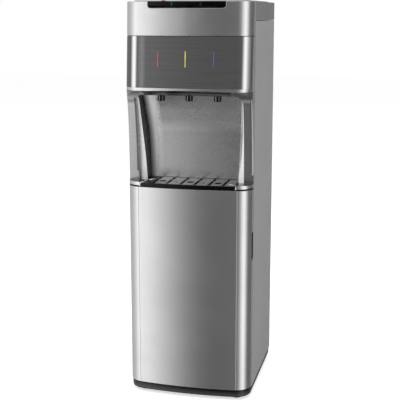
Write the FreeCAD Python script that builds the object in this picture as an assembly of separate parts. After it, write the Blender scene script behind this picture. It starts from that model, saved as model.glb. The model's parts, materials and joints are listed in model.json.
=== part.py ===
import FreeCAD, Part
import math
import os

# Bottom-loading water cooler, in millimetres. +Z is up, -Y is the front, and the origin is the
# middle of the footprint on the floor. Depths are given as the distance behind the crown of the
# door's bowed front, and behind() turns them into Y.

# Overall sizes
width = 330.0
case_depth = 349.0
ledge_reach = 15.0
rear_reach = 16.0
foot_height = 10.0
base_thickness = 18.0
door_lift = 2.0
door_height = 534.0
shelf_gap = 3.0
shelf_thickness = 10.0
niche_height = 224.0
cove_height = 15.5
ledge_height = 4.5
panel_height = 127.8
head_height = 85.2
cover_side_height = 47.0
cover_rise = 3.0

# Plan outline of the front
bow_radius = 1060.0
corner_radius = 43.0

# Walls and clearances
sheet = 1.0
rear_sheet = 1.2
moulding = 3.0
fit_gap = 0.3
joint_gap = 0.8
running_gap = 0.08

# Door
door_depth = 52.0
door_to_case = 3.3
trim_width = 35.0
skin_thickness = 1.2
tub_wall = 3.0
hinge_pin_radius = 4.0
hinge_pin_length = 13.0
hinge_inset = 15.0
hinge_plate = 1.6
grip_length = 71.0
grip_width = 8.0
grip_depth = 12.0
grip_above_door_bottom = 350.0
magnet_length = 40.0

# Dispensing niche, tray and taps
pillar_width = 25.0
opening_corner = 19.0
tap_spacing = 73.5
strip_spacing = 71.5
strip_width = 2.4
strip_length = 39.0
tap_setback = 33.0
nozzle_radius = 9.7
nozzle_drop = 15.0
valve_radius = 13.5
valve_height = 42.0
tray_band = 3.5
tray_wall = 1.5
tray_floor = 1.2
tray_rise = 9.0
grille_thickness = 1.6
grille_drop = 0.5
tray_length = 104.0

# Buttons
key_width = 64.0
key_gap = 0.6
key_depth = 44.0
key_travel = 3.0
key_wall = 2.4
pocket_height = 16.5
pocket_wall = 2.0
pocket_corner = 7.0
rod_radius = 4.0

# Bottle bay
bay_wall = 2.0
bay_clear_width = 299.0
bay_depth = 280.0
probe_radius = 8.0
probe_cap_radius = 16.0

# Tanks, compressor and back
cold_tank_radius = 62.0
cold_jacket_radius = 84.0
hot_tank_radius = 48.0
hot_jacket_radius = 62.0
tank_height = 150.0
compressor_radius = 60.0
hose_radius = 4.0
pipe_radius = 3.0
condenser_half_width = 112.0
condenser_pitch = 40.0
condenser_runs = 9

# Heights worked out from the sizes above
base_top = foot_height + base_thickness
door_bottom = base_top + door_lift
door_top = door_bottom + door_height
shelf_bottom = door_top + shelf_gap
shelf_top = shelf_bottom + shelf_thickness
niche_top = shelf_top + niche_height
ledge_bottom = niche_top + cove_height
panel_bottom = ledge_bottom + ledge_height
panel_top = panel_bottom + panel_height
head_bottom = panel_top + joint_gap
head_top = panel_top + head_height
cover_bottom = head_top - cover_side_height
deck_thickness = 1.5
bay_top = shelf_bottom - 11.0
deck_top = bay_top + deck_thickness
tank_shelf_bottom = niche_top - 21.0
tank_shelf_top = tank_shelf_bottom + deck_thickness

# Plan positions
half = width / 2
crown_y = ledge_reach - (ledge_reach + case_depth + rear_reach) / 2
case_front = door_depth + door_to_case
opening_half = half - pillar_width
hinge_x = -half + hinge_inset
hinge_back = door_depth - hinge_inset
jacket_back = 84.0 + 148.0
cold_x = half - 90.0
hot_x = -half + 85.0
hot_back = 235.0
tap_places = [-tap_spacing, 0.0, tap_spacing]
key_places = [-key_width - key_gap, 0.0, key_width + key_gap]

# Rows of the niche's shape: share of its height, how far behind the crown the pillar's face is, the
# width of the steep lip inside the opening, the width of the flatter band beside the lip, how far
# inside the opening the back corner is and the back corner's depth.
niche_rows = [
    (0.00, 46.0, 8.4, 9.6, 18.0, 107.0),
    (0.28, 44.5, 8.4, 6.2, 16.2, 107.0),
    (0.55, 40.0, 7.2, 3.2, 14.0, 101.0),
    (0.77, 33.5, 5.4, 2.0, 11.0, 84.0),
    (0.93, 26.0, 4.6, 1.6, 9.6, 68.0),
    (1.00, 14.0, 4.2, 1.4, 9.0, 58.0),
]
lip_slope = math.radians(50.0)
band_slope = math.radians(33.0)
liner_gap = 1.2
niche_steps = 20
back_wall_bow = -2.0
back_wall_parts = 8

# How far the front stands forward of the door's crown at each height. The pillars flare out to
# the ledge from a height below the niche's top.
flare_start = niche_top - 110.0
flare_steps = 10
flare_power = 1.7
panel_rows = [(panel_bottom, ledge_reach - 1.0), (panel_top, 3.0)]
head_lean = [(head_bottom, 3.0), (head_top, -2.0)]


def behind(distance):
    return crown_y + distance


def point(x, distance, z):
    return FreeCAD.Vector(x, behind(distance), z)


def block(x0, x1, d0, d1, z0, z1):
    return Part.makeBox(x1 - x0, d1 - d0, z1 - z0, point(x0, d0, z0))


def post(x, distance, radius, z0, z1):
    return Part.makeCylinder(radius, z1 - z0, point(x, distance, z0))


def rod_to_back(x, z, radius, d0, d1):
    return Part.makeCylinder(radius, d1 - d0, point(x, d0, z), FreeCAD.Vector(0, 1, 0))


def rod_to_side(distance, z, radius, x0, x1):
    return Part.makeCylinder(radius, x1 - x0, point(x0, distance, z), FreeCAD.Vector(1, 0, 0))


def join(shapes):
    result = shapes[0]
    for shape in shapes[1:]:
        result = result.fuse(shape)
    return result.removeSplitter()


def group(shapes):
    return Part.makeCompound(shapes)


def line(start, end):
    return Part.LineSegment(start, end).toShape()


def arc(start, middle, end):
    return Part.Arc(start, middle, end).toShape()


def outline(z, forward, inset, back):
    # Bowed front, two corner arcs tangent to it, straight sides and a straight back edge.
    radius = corner_radius - inset
    bow = bow_radius - inset
    side = half - inset
    bow_centre = bow_radius - forward
    corner_x = side - radius
    corner_d = bow_centre - math.sqrt((bow - radius) ** 2 - corner_x ** 2)
    angle = math.asin(corner_x / (bow - radius))
    touch_x = bow * math.sin(angle)
    touch_d = bow_centre - bow * math.cos(angle)
    turn = (math.pi / 2 - angle) / 2
    middle_x = corner_x + radius * math.cos(turn)
    middle_d = corner_d - radius * math.sin(turn)
    edges = [
        arc(point(-touch_x, touch_d, z), point(0, inset - forward, z), point(touch_x, touch_d, z)),
        arc(point(touch_x, touch_d, z), point(middle_x, middle_d, z), point(side, corner_d, z)),
        line(point(side, corner_d, z), point(side, back, z)),
        line(point(side, back, z), point(-side, back, z)),
        line(point(-side, back, z), point(-side, corner_d, z)),
        arc(point(-side, corner_d, z), point(-middle_x, middle_d, z), point(-touch_x, touch_d, z)),
    ]
    return Part.Wire(edges)


def shortened(shape, rows, back):
    # Outlines need some straight side, so a shallow shape is drawn deep and cut back.
    side = half + 5.0
    return shape.common(block(-side, side, -80.0, back, rows[0][0] - 1.0, rows[-1][0] + 1.0))


def leaning_slab(rows, inset, back):
    deep = max(back, case_front + 10.0)
    wires = [outline(z, forward, inset, deep) for z, forward in rows]
    shape = Part.makeLoft(wires, True, True)
    return shape if back == deep else shortened(shape, rows, back)


def slab(z0, z1, inset, back):
    deep = max(back, case_front + 10.0)
    face = Part.Face(outline(z0, 0.0, inset, deep))
    shape = face.extrude(FreeCAD.Vector(0, 0, z1 - z0))
    return shape if back == deep else shortened(shape, [(z0, 0.0), (z1, 0.0)], back)


def polygon_prism(corners, direction):
    wire = Part.makePolygon(corners + [corners[0]])
    return Part.Face(wire).extrude(direction)


def ruled_stack(sections):
    wires = [Part.makePolygon(section + [section[0]]) for section in sections]
    return Part.makeLoft(wires, True, True)


def tube(points, radius, bend):
    # A round tube along straight runs that are joined by tangent arcs.
    edges = []
    start = points[0]
    for before, corner, after in zip(points, points[1:], points[2:]):
        into = (corner - before).normalize()
        out = (after - corner).normalize()
        turn = into.getAngle(out)
        reach = bend * math.tan(turn / 2)
        arc_start = corner - into * reach
        arc_end = corner + out * reach
        inward = (out - into).normalize()
        centre = corner + inward * (bend / math.cos(turn / 2))
        middle = centre - inward * bend
        edges.append(line(start, arc_start))
        edges.append(arc(arc_start, middle, arc_end))
        start = arc_end
    edges.append(line(start, points[-1]))
    path = Part.Wire(edges)
    circle = Part.makeCircle(radius, points[0], points[1] - points[0])
    return path.makePipeShell([Part.Wire([circle])], True, False)


def helix_tube(x, distance, z, coil_radius, wire_radius, pitch, height):
    path = Part.makeHelix(pitch, height, coil_radius)
    circle = Part.makeCircle(wire_radius, FreeCAD.Vector(coil_radius, 0, 0), FreeCAD.Vector(0, 1, 0))
    coil = Part.Wire(path).makePipeShell([Part.Wire([circle])], True, True)
    coil.translate(point(x, distance, z))
    return coil


def turned(x, distance, profile):
    # A solid of revolution about a vertical axis, from (radius, height) corners.
    corners = [point(x + radius, distance, z) for radius, z in profile]
    wire = Part.makePolygon(corners + [corners[0]])
    return Part.Face(wire).revolve(point(x, distance, 0), FreeCAD.Vector(0, 0, 1), 360)


def between_rows(rows, share):
    # A smooth curve through each column of the rows, whose first column is the share of height.
    last = len(rows) - 1
    index = max(i for i in range(last) if rows[i][0] <= share)
    low = rows[index]
    high = rows[index + 1]
    before = rows[max(index - 1, 0)]
    after = rows[min(index + 2, last)]
    span = high[0] - low[0]
    t = (share - low[0]) / span
    values = []
    for column in range(1, len(low)):
        slope_low = (high[column] - before[column]) / (high[0] - before[0]) * span
        slope_high = (after[column] - low[column]) / (after[0] - low[0]) * span
        value = (2 * t ** 3 - 3 * t ** 2 + 1) * low[column] + (t ** 3 - 2 * t ** 2 + t) * slope_low
        value += (3 * t ** 2 - 2 * t ** 3) * high[column] + (t ** 3 - t ** 2) * slope_high
        values.append(value)
    return values


def niche_points():
    rows = []
    for step in range(niche_steps + 1):
        share = step / niche_steps
        z = shelf_top + share * niche_height
        rows.append([z] + between_rows(niche_rows, share))
    return rows


def flare_rows():
    # The outline's place from the shelf up to the ledge's lower edge.
    rows = [(shelf_bottom, 0.0)]
    for step in range(flare_steps + 1):
        share = step / flare_steps
        z = flare_start + share * (ledge_bottom - flare_start)
        rows.append((z, ledge_reach * share ** flare_power))
    return rows


def niche_section(z, front, row, grow):
    face, lip, band, corner_inset, corner_depth = row[1:]
    edge = opening_half + grow
    corner_x = edge - corner_inset
    lip_start = face + moulding + liner_gap + grow
    lip_drop = lip * math.tan(lip_slope)
    crease_depth = lip_start + lip_drop + band * math.tan(band_slope)
    right = [
        point(edge + grow, front, z),
        point(edge, lip_start, z),
        point(edge - 0.45 * lip, lip_start + 0.55 * lip_drop, z),
        point(edge - lip, lip_start + lip_drop, z),
        point(edge - lip - band, crease_depth, z),
        point(corner_x, corner_depth + grow, z),
    ]
    middle = []
    for part in range(1, back_wall_parts):
        share = 1 - 2 * part / back_wall_parts
        bow = back_wall_bow * (1 - share ** 2)
        middle.append(point(share * corner_x, corner_depth + bow + grow, z))
    left = [FreeCAD.Vector(-p.x, p.y, p.z) for p in reversed(right)]
    return right + middle + left


def niche_stack(grow, front_of):
    rows = niche_points()
    low = rows[0]
    high = rows[-1]
    sections = [niche_section(shelf_bottom - 1.0, front_of(low), low, grow)]
    sections += [niche_section(row[0], front_of(row), row, grow) for row in rows]
    if grow > 0:
        sections.append(niche_section(high[0] + grow, front_of(high), high, grow))
    return ruled_stack(sections)


def scoop(setback, lift):
    # The space in front of the pillars, under the ledge.
    side = half + 10.0
    rows = niche_points()
    knots = [point(-side, row[1] + setback, row[0]) for row in rows]
    curve = Part.BSplineCurve()
    curve.interpolate(knots)
    start = point(-side, knots[0].y - crown_y, shelf_top - lift)
    end = point(-side, setback - ledge_reach - 1.0, ledge_bottom + lift)
    edges = [] if lift == 0 else [line(start, knots[0])]
    edges += [
        curve.toShape(),
        line(knots[-1], end),
        line(end, point(-side, -80.0, ledge_bottom + lift)),
        line(point(-side, -80.0, ledge_bottom + lift), point(-side, -80.0, shelf_top - lift)),
        line(point(-side, -80.0, shelf_top - lift), start),
    ]
    return Part.Face(Part.Wire(edges)).extrude(FreeCAD.Vector(2 * side, 0, 0))


def niche_opening(grow):
    # The opening between the pillars as seen from the front, with rounded top corners.
    side = opening_half + grow
    top = niche_top + grow
    bottom = shelf_top
    radius = opening_corner
    lean = radius * (1 - math.sqrt(0.5))
    front = -80.0
    edges = [
        line(point(-side, front, bottom), point(side, front, bottom)),
        line(point(side, front, bottom), point(side, front, top - radius)),
        arc(
            point(side, front, top - radius),
            point(side - lean, front, top - lean),
            point(side - radius, front, top),
        ),
        line(point(side - radius, front, top), point(radius - side, front, top)),
        arc(
            point(radius - side, front, top),
            point(lean - side, front, top - lean),
            point(-side, front, top - radius),
        ),
        line(point(-side, front, top - radius), point(-side, front, bottom)),
    ]
    return Part.Face(Part.Wire(edges)).extrude(FreeCAD.Vector(0, 80.0 + case_front, 0))


def make_base_plate():
    return slab(foot_height, base_top, 2.0, case_depth - 2.0)


def make_rubber_feet():
    places = [(-half + 40, 45), (half - 40, 45), (-half + 40, case_depth - 40), (half - 40, case_depth - 40)]
    return group([post(x, distance, 16.0, 0, foot_height) for x, distance in places])


def make_side_panel(side):
    flange = 12.0
    outer = half
    inner = half - sheet
    sheet_part = block(inner, outer, case_front, case_depth - rear_sheet, base_top, cover_bottom - joint_gap)
    front = block(outer - flange, inner, case_front, case_front + sheet, base_top, shelf_bottom)
    back_edge = case_depth - rear_sheet
    back = block(outer - flange, inner, back_edge - sheet, back_edge, base_top, cover_bottom - joint_gap)
    panel = join([sheet_part, front, back])
    if side < 0:
        panel = panel.mirror(FreeCAD.Vector(0, 0, 0), FreeCAD.Vector(1, 0, 0))
    return panel


def rear_cutouts():
    deep = case_depth + 5.0
    front = case_depth - 5.0
    switch = block(switch_x - 11, switch_x + 11, front, deep, switch_z - 25, switch_z + 25)
    inlet = block(switch_x - 11, switch_x + 11, front, deep, inlet_z - 13, inlet_z + 13)
    drain = rod_to_back(drain_x, drain_z, drain_radius + fit_gap, front, deep)
    gas = rod_to_back(gas_in_x, gas_in_z, pipe_radius + 1.0, front, deep)
    liquid = rod_to_back(gas_out_x, gas_out_z, pipe_radius + 1.0, front, deep)
    return [switch, inlet, drain, gas, liquid]


def make_rear_panel():
    side = half - sheet
    panel = block(-side, side, case_depth - rear_sheet, case_depth, base_top, cover_bottom - joint_gap)
    for cutout in rear_cutouts():
        panel = panel.cut(cutout)
    slots = []
    for row in range(6):
        z = tank_shelf_bottom - 30.0 - 14.0 * row
        slots.append(block(-60.0, 60.0, case_depth - 5.0, case_depth + 5.0, z, z + 5.0))
    return panel.cut(group(slots))


def make_case_screws():
    screws = []
    for side in (-1, 1):
        for share in (0.04, 0.28, 0.52, 0.76, 0.96):
            z = base_top + share * (cover_bottom - base_top)
            x = side * (half - 7.0)
            screws.append(rod_to_back(x, z, 3.5, case_depth, case_depth + 2.0))
        z = head_top - 20.0
        screws.append(rod_to_back(side * (half - 25.0), z, 3.5, case_depth, case_depth + 2.0))
    return group(screws)


def make_bay_liner():
    outer_x = bay_clear_width / 2 + bay_wall
    front = case_front + sheet + 0.7
    back = front + bay_depth
    outer = block(-outer_x, outer_x, front, back, base_top, bay_top)
    clear = block(
        -outer_x + bay_wall, outer_x - bay_wall, front - 1, back - bay_wall,
        base_top + bay_wall, bay_top - bay_wall
    )
    hose_hole = post(probe_x + 40.0, probe_back - 30.0, 6.0, bay_top - 5.0, bay_top + 5.0)
    return outer.cut(clear).cut(hose_hole)


def make_machine_deck():
    side = half - sheet
    plate = block(-side, side, case_front + sheet + 0.7, case_depth - rear_sheet - sheet, bay_top, deck_top)
    skirts = []
    for sign in (-1, 1):
        inner, outer = sorted((sign * (side - sheet), sign * side))
        skirts.append(block(inner, outer, case_front + 2.0, case_depth - 4.0, bay_top - 14.0, bay_top))
    hose_hole = post(probe_x + 40.0, probe_back - 30.0, 6.0, bay_top - 5.0, bay_top + 5.0)
    return join([plate] + skirts).cut(hose_hole)


def make_tank_shelf():
    side = half - sheet
    front = 140.0
    back = case_depth - rear_sheet - sheet
    plate = block(-side, side, front, back, tank_shelf_bottom, tank_shelf_top)
    skirts = []
    for sign in (-1, 1):
        inner, outer = sorted((sign * (side - sheet), sign * side))
        skirts.append(block(inner, outer, front, back, tank_shelf_bottom - 14.0, tank_shelf_bottom))
    shelf = join([plate] + skirts)
    for x in (gas_in_x, gas_out_x, suction_x):
        notch = block(
            x - 8.0, x + 8.0, case_depth - 36.0, case_depth, tank_shelf_bottom - 1, tank_shelf_top + 1
        )
        shelf = shelf.cut(notch)
    return shelf


def make_top_cover():
    outer = block(-half, half, case_front, case_depth, cover_bottom, head_top)
    inner = block(
        -half + moulding, half - moulding, case_front - 1, case_depth - moulding,
        cover_bottom - 1, head_top - moulding
    )
    inset = 12.0
    slope = 6.0
    low = [(-half + inset, case_front), (half - inset, case_front)]
    low += [(half - inset, case_depth - inset), (-half + inset, case_depth - inset)]
    middle = (case_front + case_depth) / 2
    raised = []
    for z, shrink in ((head_top, 0.0), (head_top + cover_rise, slope)):
        corners = []
        for x, distance in low:
            toward_x = -shrink if x > 0 else shrink
            toward_d = -shrink if distance > middle else 0.0
            corners.append(point(x + toward_x, distance + toward_d, z))
        raised.append(corners)
    return join([outer.cut(inner), ruled_stack(raised)])


def pocket_shape(shrink, d0, d1):
    # The button pocket as seen from the front, open at the top.
    side = pocket_half - shrink
    bottom = head_top - pocket_height + shrink
    top = head_top + 10.0
    radius = pocket_corner - shrink
    lean = radius * (1 - math.sqrt(0.5))
    edges = [
        line(point(-side, d0, top), point(-side, d0, bottom + radius)),
        arc(
            point(-side, d0, bottom + radius),
            point(lean - side, d0, bottom + lean),
            point(radius - side, d0, bottom),
        ),
        line(point(radius - side, d0, bottom), point(side - radius, d0, bottom)),
        arc(
            point(side - radius, d0, bottom),
            point(side - lean, d0, bottom + lean),
            point(side, d0, bottom + radius),
        ),
        line(point(side, d0, bottom + radius), point(side, d0, top)),
        line(point(side, d0, top), point(-side, d0, top)),
    ]
    return Part.Face(Part.Wire(edges)).extrude(FreeCAD.Vector(0, d1 - d0, 0))


def make_head_shell():
    outer = leaning_slab(head_lean, 0.0, case_front - fit_gap)
    crown = head_top - moulding
    lean_there = head_lean[1][1] + 0.2
    inner_rows = [(head_bottom - 0.1, head_lean[0][1]), (crown, lean_there)]
    inner = leaning_slab(inner_rows, moulding, case_front + 1.0)
    shell = outer.cut(inner)
    return shell.cut(pocket_shape(-fit_gap, -40.0, key_depth + pocket_wall + fit_gap))


def make_button_pocket():
    tray = pocket_shape(0.0, -40.0, key_depth + pocket_wall).cut(pocket_shape(pocket_wall, -50.0, key_depth))
    body = leaning_slab(head_lean, fit_gap, case_front)
    tray = tray.common(body)
    floor = head_top - pocket_height
    for x in tap_places:
        tray = tray.cut(post(x, tap_setback, rod_radius + 0.6, floor - 1, floor + pocket_wall + 1))
    ears = []
    ear_inner = tap_spacing + rod_radius + 1.5
    for sign in (-1, 1):
        x0, x1 = sorted((sign * ear_inner, sign * (ear_inner + 8.0)))
        ears.append(block(x0, x1, 12.0, 40.0, floor - 8.0, floor + 0.5))
    return join([tray] + ears)


def make_key(index):
    middle = key_places[index]
    x0 = middle - key_width / 2
    x1 = middle + key_width / 2
    bottom = head_top - pocket_height + pocket_wall + fit_gap + key_travel
    top = head_top - 0.5
    outer = leaning_slab(head_lean, 0.0, key_depth - 0.4).common(block(x0, x1, -40, 80, bottom, top))
    inner = leaning_slab(head_lean, key_wall, key_depth - 0.4 - key_wall)
    inner = inner.common(block(x0 + key_wall, x1 - key_wall, -40, 80, bottom - 1, top - key_wall))
    key = outer.cut(inner)
    reach = pocket_corner - pocket_wall
    if index == 0:
        key = key.cut(lock_slot())
    if index != 1:
        sign = -1 if index == 0 else 1
        edge = x0 if index == 0 else x1
        corner_box = block(*sorted((edge, edge - sign * reach)), -40, 80, bottom - 1, bottom + reach)
        round_part = rod_to_back(edge - sign * reach, bottom + reach, reach, -40, 80)
        key = key.cut(corner_box.cut(round_part))
    return key


def lock_slot():
    low = head_top - 10.0
    return block(lock_x - 2.0, lock_x + 2.0, lock_back - 3.5, lock_back + 8.5, low, head_top + 5.0)


def make_child_lock():
    cap = block(lock_x - 4.0, lock_x + 4.0, lock_back - 6.0, lock_back + 6.0, head_top - 0.2, head_top + 3.0)
    stem = block(lock_x - 1.6, lock_x + 1.6, lock_back - 3.0, lock_back + 3.0, head_top - 6.0, head_top - 0.2)
    foot = block(lock_x - 4.0, lock_x + 4.0, lock_back - 3.0, lock_back + 3.0, head_top - 6.0, head_top - 3.2)
    return join([cap, stem, foot])


def make_push_rod(x):
    key_under = head_top - 0.5 - key_wall
    collar = post(x, tap_setback, 8.0, collar_z, collar_z + 3.0)
    return join([post(x, tap_setback, rod_radius, valve_top - 24.0, key_under), collar])


def make_spring(x):
    wire = 0.6
    low = valve_top + wire + 0.1
    high = collar_z - wire - 0.1
    return helix_tube(x, tap_setback, low, 6.0, wire, (high - low) / 5, high - low)


def make_tap(x):
    nozzle = [
        (0, niche_top - nozzle_drop),
        (nozzle_radius - 1.2, niche_top - nozzle_drop),
        (nozzle_radius, niche_top - nozzle_drop + 1.2),
        (nozzle_radius, niche_top + moulding + fit_gap),
        (valve_radius, niche_top + moulding + fit_gap),
        (valve_radius, valve_top),
        (0, valve_top),
    ]
    body = turned(x, tap_setback, nozzle)
    stub = rod_to_back(x, tap_inlet_z, hose_radius + 1.5, tap_setback, tap_setback + 26.0)
    body = join([body, stub])
    body = body.cut(post(x, tap_setback, 5.0, niche_top - nozzle_drop - 1, niche_top - 1))
    return body.cut(post(x, tap_setback, rod_radius + running_gap, valve_top - 30.0, valve_top + 1))


def panel_sheet(raised):
    outer = leaning_slab(panel_rows, -raised, case_front)
    return outer.cut(leaning_slab(panel_rows, skin_thickness, case_front + 1.0))


def panel_span(half_span):
    return block(-half_span, half_span, -40.0, case_front, panel_bottom - 1.0, panel_top + 1.0)


def make_control_panel():
    panel = panel_sheet(0.0).common(panel_span(panel_half))
    for x in strip_places:
        panel = panel.cut(strip_block(x, fit_gap / 2))
    return panel


def strip_block(x, grow):
    side = strip_width / 2 + grow
    reach = strip_length / 2 + grow
    return block(x - side, x + side, -40.0, 20.0, strip_z - reach, strip_z + reach)


def make_strip(x):
    return panel_sheet(0.2).common(strip_block(x, 0.0))


def make_front_frame():
    rows = flare_rows() + panel_rows
    outer = leaning_slab(rows, 0.0, case_front - fit_gap)
    outer = outer.cut(scoop(0.0, 0.0))
    inner_rows = [(shelf_top - moulding, 0.0)] + rows[1:]
    inner = leaning_slab(inner_rows, moulding, case_front + 1.0)
    inner = inner.cut(scoop(moulding, moulding))
    frame = outer.cut(inner)
    recess = leaning_slab(panel_rows, -5.0, case_front)
    recess = recess.cut(leaning_slab(panel_rows, skin_thickness + fit_gap, case_front + 10.0))
    frame = frame.cut(recess.common(panel_span(panel_half + 0.2)))
    frame = frame.cut(niche_opening(0.0))
    side = tray_half_width + 1.0
    tray_cut = block(-side, side, -80.0, case_front + 5, shelf_bottom + tray_seat, shelf_top + 5)
    lip_cut = block(-side, side, -80.0, 14.0, shelf_bottom - 5, shelf_top + 5)
    return frame.cut(tray_cut).cut(lip_cut)


def make_niche_liner():
    outer = niche_stack(moulding, lambda row: row[1] + moulding + liner_gap)
    cavity = niche_stack(0.0, lambda row: -80.0)
    liner = outer.cut(cavity)
    floor_clear = block(-half, half, -80.0, case_front - fit_gap, shelf_bottom - 5, shelf_top)
    under = block(-half, half, -80.0, 200.0, shelf_bottom - 5, shelf_bottom)
    liner = liner.cut(floor_clear).cut(under)
    tray_space = opening_half - niche_rows[0][4]
    floor_back = tray_length + 1.5
    floor = block(-tray_space, tray_space, case_front, floor_back, shelf_bottom, shelf_bottom + tray_seat)
    liner = join([liner, floor])
    for x in tap_places:
        liner = liner.cut(post(x, tap_setback, nozzle_radius + fit_gap, niche_top - 5, niche_top + 10))
    return liner


def tray_shape(inset, z0, z1, back):
    side = tray_basin_half - inset
    return slab(z0, z1, tray_band - 1.0 + inset, back - inset).common(block(-side, side, -50, 300, z0, z1))


def make_drip_tray():
    low = shelf_bottom + tray_seat + fit_gap
    high = shelf_bottom + tray_rise
    band = slab(shelf_bottom, high, 0.0, 20.0).cut(slab(shelf_bottom - 1, high + 1, tray_band, 30.0))
    band = band.common(block(-tray_half_width, tray_half_width, -50, 40, shelf_bottom, high))
    outer = tray_shape(0.0, low, high, tray_length)
    seat = high - grille_drop - grille_thickness
    hollow = tray_shape(2 * tray_wall, low + tray_floor, seat, tray_length)
    rim = tray_shape(tray_wall, seat, high + 1, tray_length)
    return join([band, outer]).cut(hollow).cut(rim)


def make_drip_grille():
    # Slots between wide drain holes under the taps and small holes midway between the taps
    top = shelf_bottom + tray_rise - grille_drop
    low = top - grille_thickness
    plate = tray_shape(tray_wall + fit_gap, low, top, tray_length)
    openings = []
    for column in range(-6, 7):
        x = column * tap_spacing / 4
        if column % 4 == 0:
            openings.append(post(x, 44.0, 9.5, low - 1, top + 1))
        elif column % 2 == 0:
            openings.append(post(x, 38.0, 3.5, low - 1, top + 1))
        else:
            openings.append(grille_slot(x, 16.0, 62.0, low, top))
            openings.append(grille_slot(x, 74.0, 96.0, low, top))
    return plate.cut(group(openings))


def grille_slot(x, front, back, low, top):
    radius = 2.5
    middle = block(x - radius, x + radius, front + radius, back - radius, low - 1, top + 1)
    ends = [post(x, end, radius, low - 1, top + 1) for end in (front + radius, back - radius)]
    return join([middle] + ends)


def hinge_corner():
    # What is taken off the door's back left edge so that it turns clear of the case.
    edge = block(-half - 1, hinge_x, hinge_back, door_depth + 1, door_bottom - 1, door_top + 1)
    return edge.cut(post(hinge_x, hinge_back, hinge_inset - 0.2, door_bottom - 1, door_top + 1))


def grip_pocket(wall):
    low = door_bottom + grip_above_door_bottom
    return block(
        half - grip_depth - wall, half + 5.0, door_depth - 4.0 - grip_width - wall, door_depth - 4.0 + wall,
        low - wall, low + grip_length + wall
    )


def make_door_skin():
    side = half - trim_width
    shell = slab(door_bottom, door_top, 0.0, door_depth)
    shell = shell.cut(slab(door_bottom - 1, door_top + 1, skin_thickness, door_depth + 1))
    return shell.common(block(-side + 0.2, side - 0.2, -50, case_front, door_bottom, door_top))


def make_door_trim(side):
    shell = slab(door_bottom, door_top, 0.0, door_depth)
    shell = shell.cut(slab(door_bottom - 1, door_top + 1, moulding, door_depth + 1))
    x0, x1 = sorted((side * (half - trim_width + 0.2), side * (half + 1)))
    trim = shell.common(block(x0, x1, -50, case_front, door_bottom, door_top))
    if side < 0:
        return trim.cut(hinge_corner())
    return trim.cut(grip_pocket(0.0))


def make_door_liner():
    side = half - trim_width
    outer = slab(door_bottom, door_top, moulding + 0.2, door_depth)
    nose = slab(door_bottom, door_top, skin_thickness + 0.2, door_depth)
    nose = nose.common(block(-side + 0.5, side - 0.5, -50, case_front, door_bottom, door_top))
    hollow = slab(
        door_bottom + tub_wall, door_top - tub_wall, moulding + 0.2 + tub_wall, door_depth - tub_wall
    )
    corner_post = post(hinge_x, hinge_back, hinge_inset - 3.6, door_bottom, door_top).common(outer)
    tub = join([outer, nose]).cut(hollow)
    tub = join([tub, corner_post])
    cup = grip_pocket(tub_wall).common(slab(door_bottom, door_top, moulding + 0.2, door_depth))
    tub = join([tub, cup]).cut(grip_pocket(0.0)).cut(hinge_corner())
    bore = hinge_pin_radius + running_gap
    for z0, z1 in ((door_bottom - 1, door_bottom + 16.0), (door_top - 16.0, door_top + 1)):
        tub = tub.cut(post(hinge_x, hinge_back, bore, z0, z1))
    return tub.cut(magnet_block(0.1))


def magnet_block(grow):
    middle = door_bottom + door_height / 2
    return block(
        half - 12.0 - grow, half - 4.5 + grow, door_depth - 2.0 - grow, case_front - fit_gap,
        middle - magnet_length / 2 - grow, middle + magnet_length / 2 + grow
    )


def make_hinge(low):
    reach = 24.0
    if low:
        z0, z1 = base_top, base_top + hinge_plate
        pin = post(hinge_x, hinge_back, hinge_pin_radius, z1 - 0.5, z1 + hinge_pin_length)
    else:
        z0, z1 = shelf_bottom - hinge_plate, shelf_bottom
        pin = post(hinge_x, hinge_back, hinge_pin_radius, z0 - hinge_pin_length, z0 + 0.5)
    plate = slab(z0, z1, moulding, case_front - 1).common(
        block(-half, hinge_x + reach, hinge_back - 12.0, case_front - 1, z0, z1)
    )
    return join([plate, pin])


def make_cold_tank():
    low = tank_shelf_top + 20.0
    high = low + tank_height
    shell = post(cold_x, jacket_back, cold_tank_radius, low, high)
    inner = post(cold_x, jacket_back, cold_tank_radius - 1.0, low + 1.0, high - 1.0)
    stem = post(cold_x, jacket_back, 2.0, low + 60.0, high - 0.5)
    stop = post(cold_x, jacket_back, 5.0, low + 60.0, low + 62.0)
    return join([shell.cut(inner), stem, stop])


def make_tank_float():
    low = tank_shelf_top + 20.0 + 62.0
    ring = post(cold_x, jacket_back, 15.0, low, low + 22.0)
    return ring.cut(post(cold_x, jacket_back, 2.3, low - 1, low + 23.0))


def make_cold_tank_jacket():
    low = tank_shelf_top
    outer = post(cold_x, jacket_back, cold_jacket_radius, low, low + 20.0 + tank_height + 12.0)
    inner = post(cold_x, jacket_back, cold_tank_radius + 10.0, low + 20.0, low + 20.0 + tank_height + 20.0)
    jacket = outer.cut(inner)
    passages = [
        rod_to_back(cold_x, cold_outlet_z, hose_radius + fit_gap, jacket_back - 100.0, jacket_back - 40.0),
        rod_to_back(suction_x, suction_z, pipe_radius + fit_gap, jacket_back, jacket_back + 100.0),
        rod_to_back(gas_out_x, suction_z + 60.0, pipe_radius + fit_gap, jacket_back, jacket_back + 100.0),
    ]
    return jacket.cut(group(passages))


def make_hot_tank():
    low = tank_shelf_top + 10.0
    shell = turned(
        hot_x,
        hot_back,
        [
            (0, low),
            (hot_tank_radius - 10, low),
            (hot_tank_radius, low + 10),
            (hot_tank_radius, low + tank_height - 20),
            (hot_tank_radius - 10, low + tank_height - 10),
            (0, low + tank_height - 10),
        ],
    )
    inner = post(hot_x, hot_back, hot_tank_radius - 11.0, low + 2.0, low + tank_height - 12.0)
    outlet_start = hot_back - hot_jacket_radius
    outlet = rod_to_back(hot_x, hot_outlet_z, hose_radius, outlet_start, hot_back - hot_tank_radius + 2)
    return join([shell.cut(inner), outlet])


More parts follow.
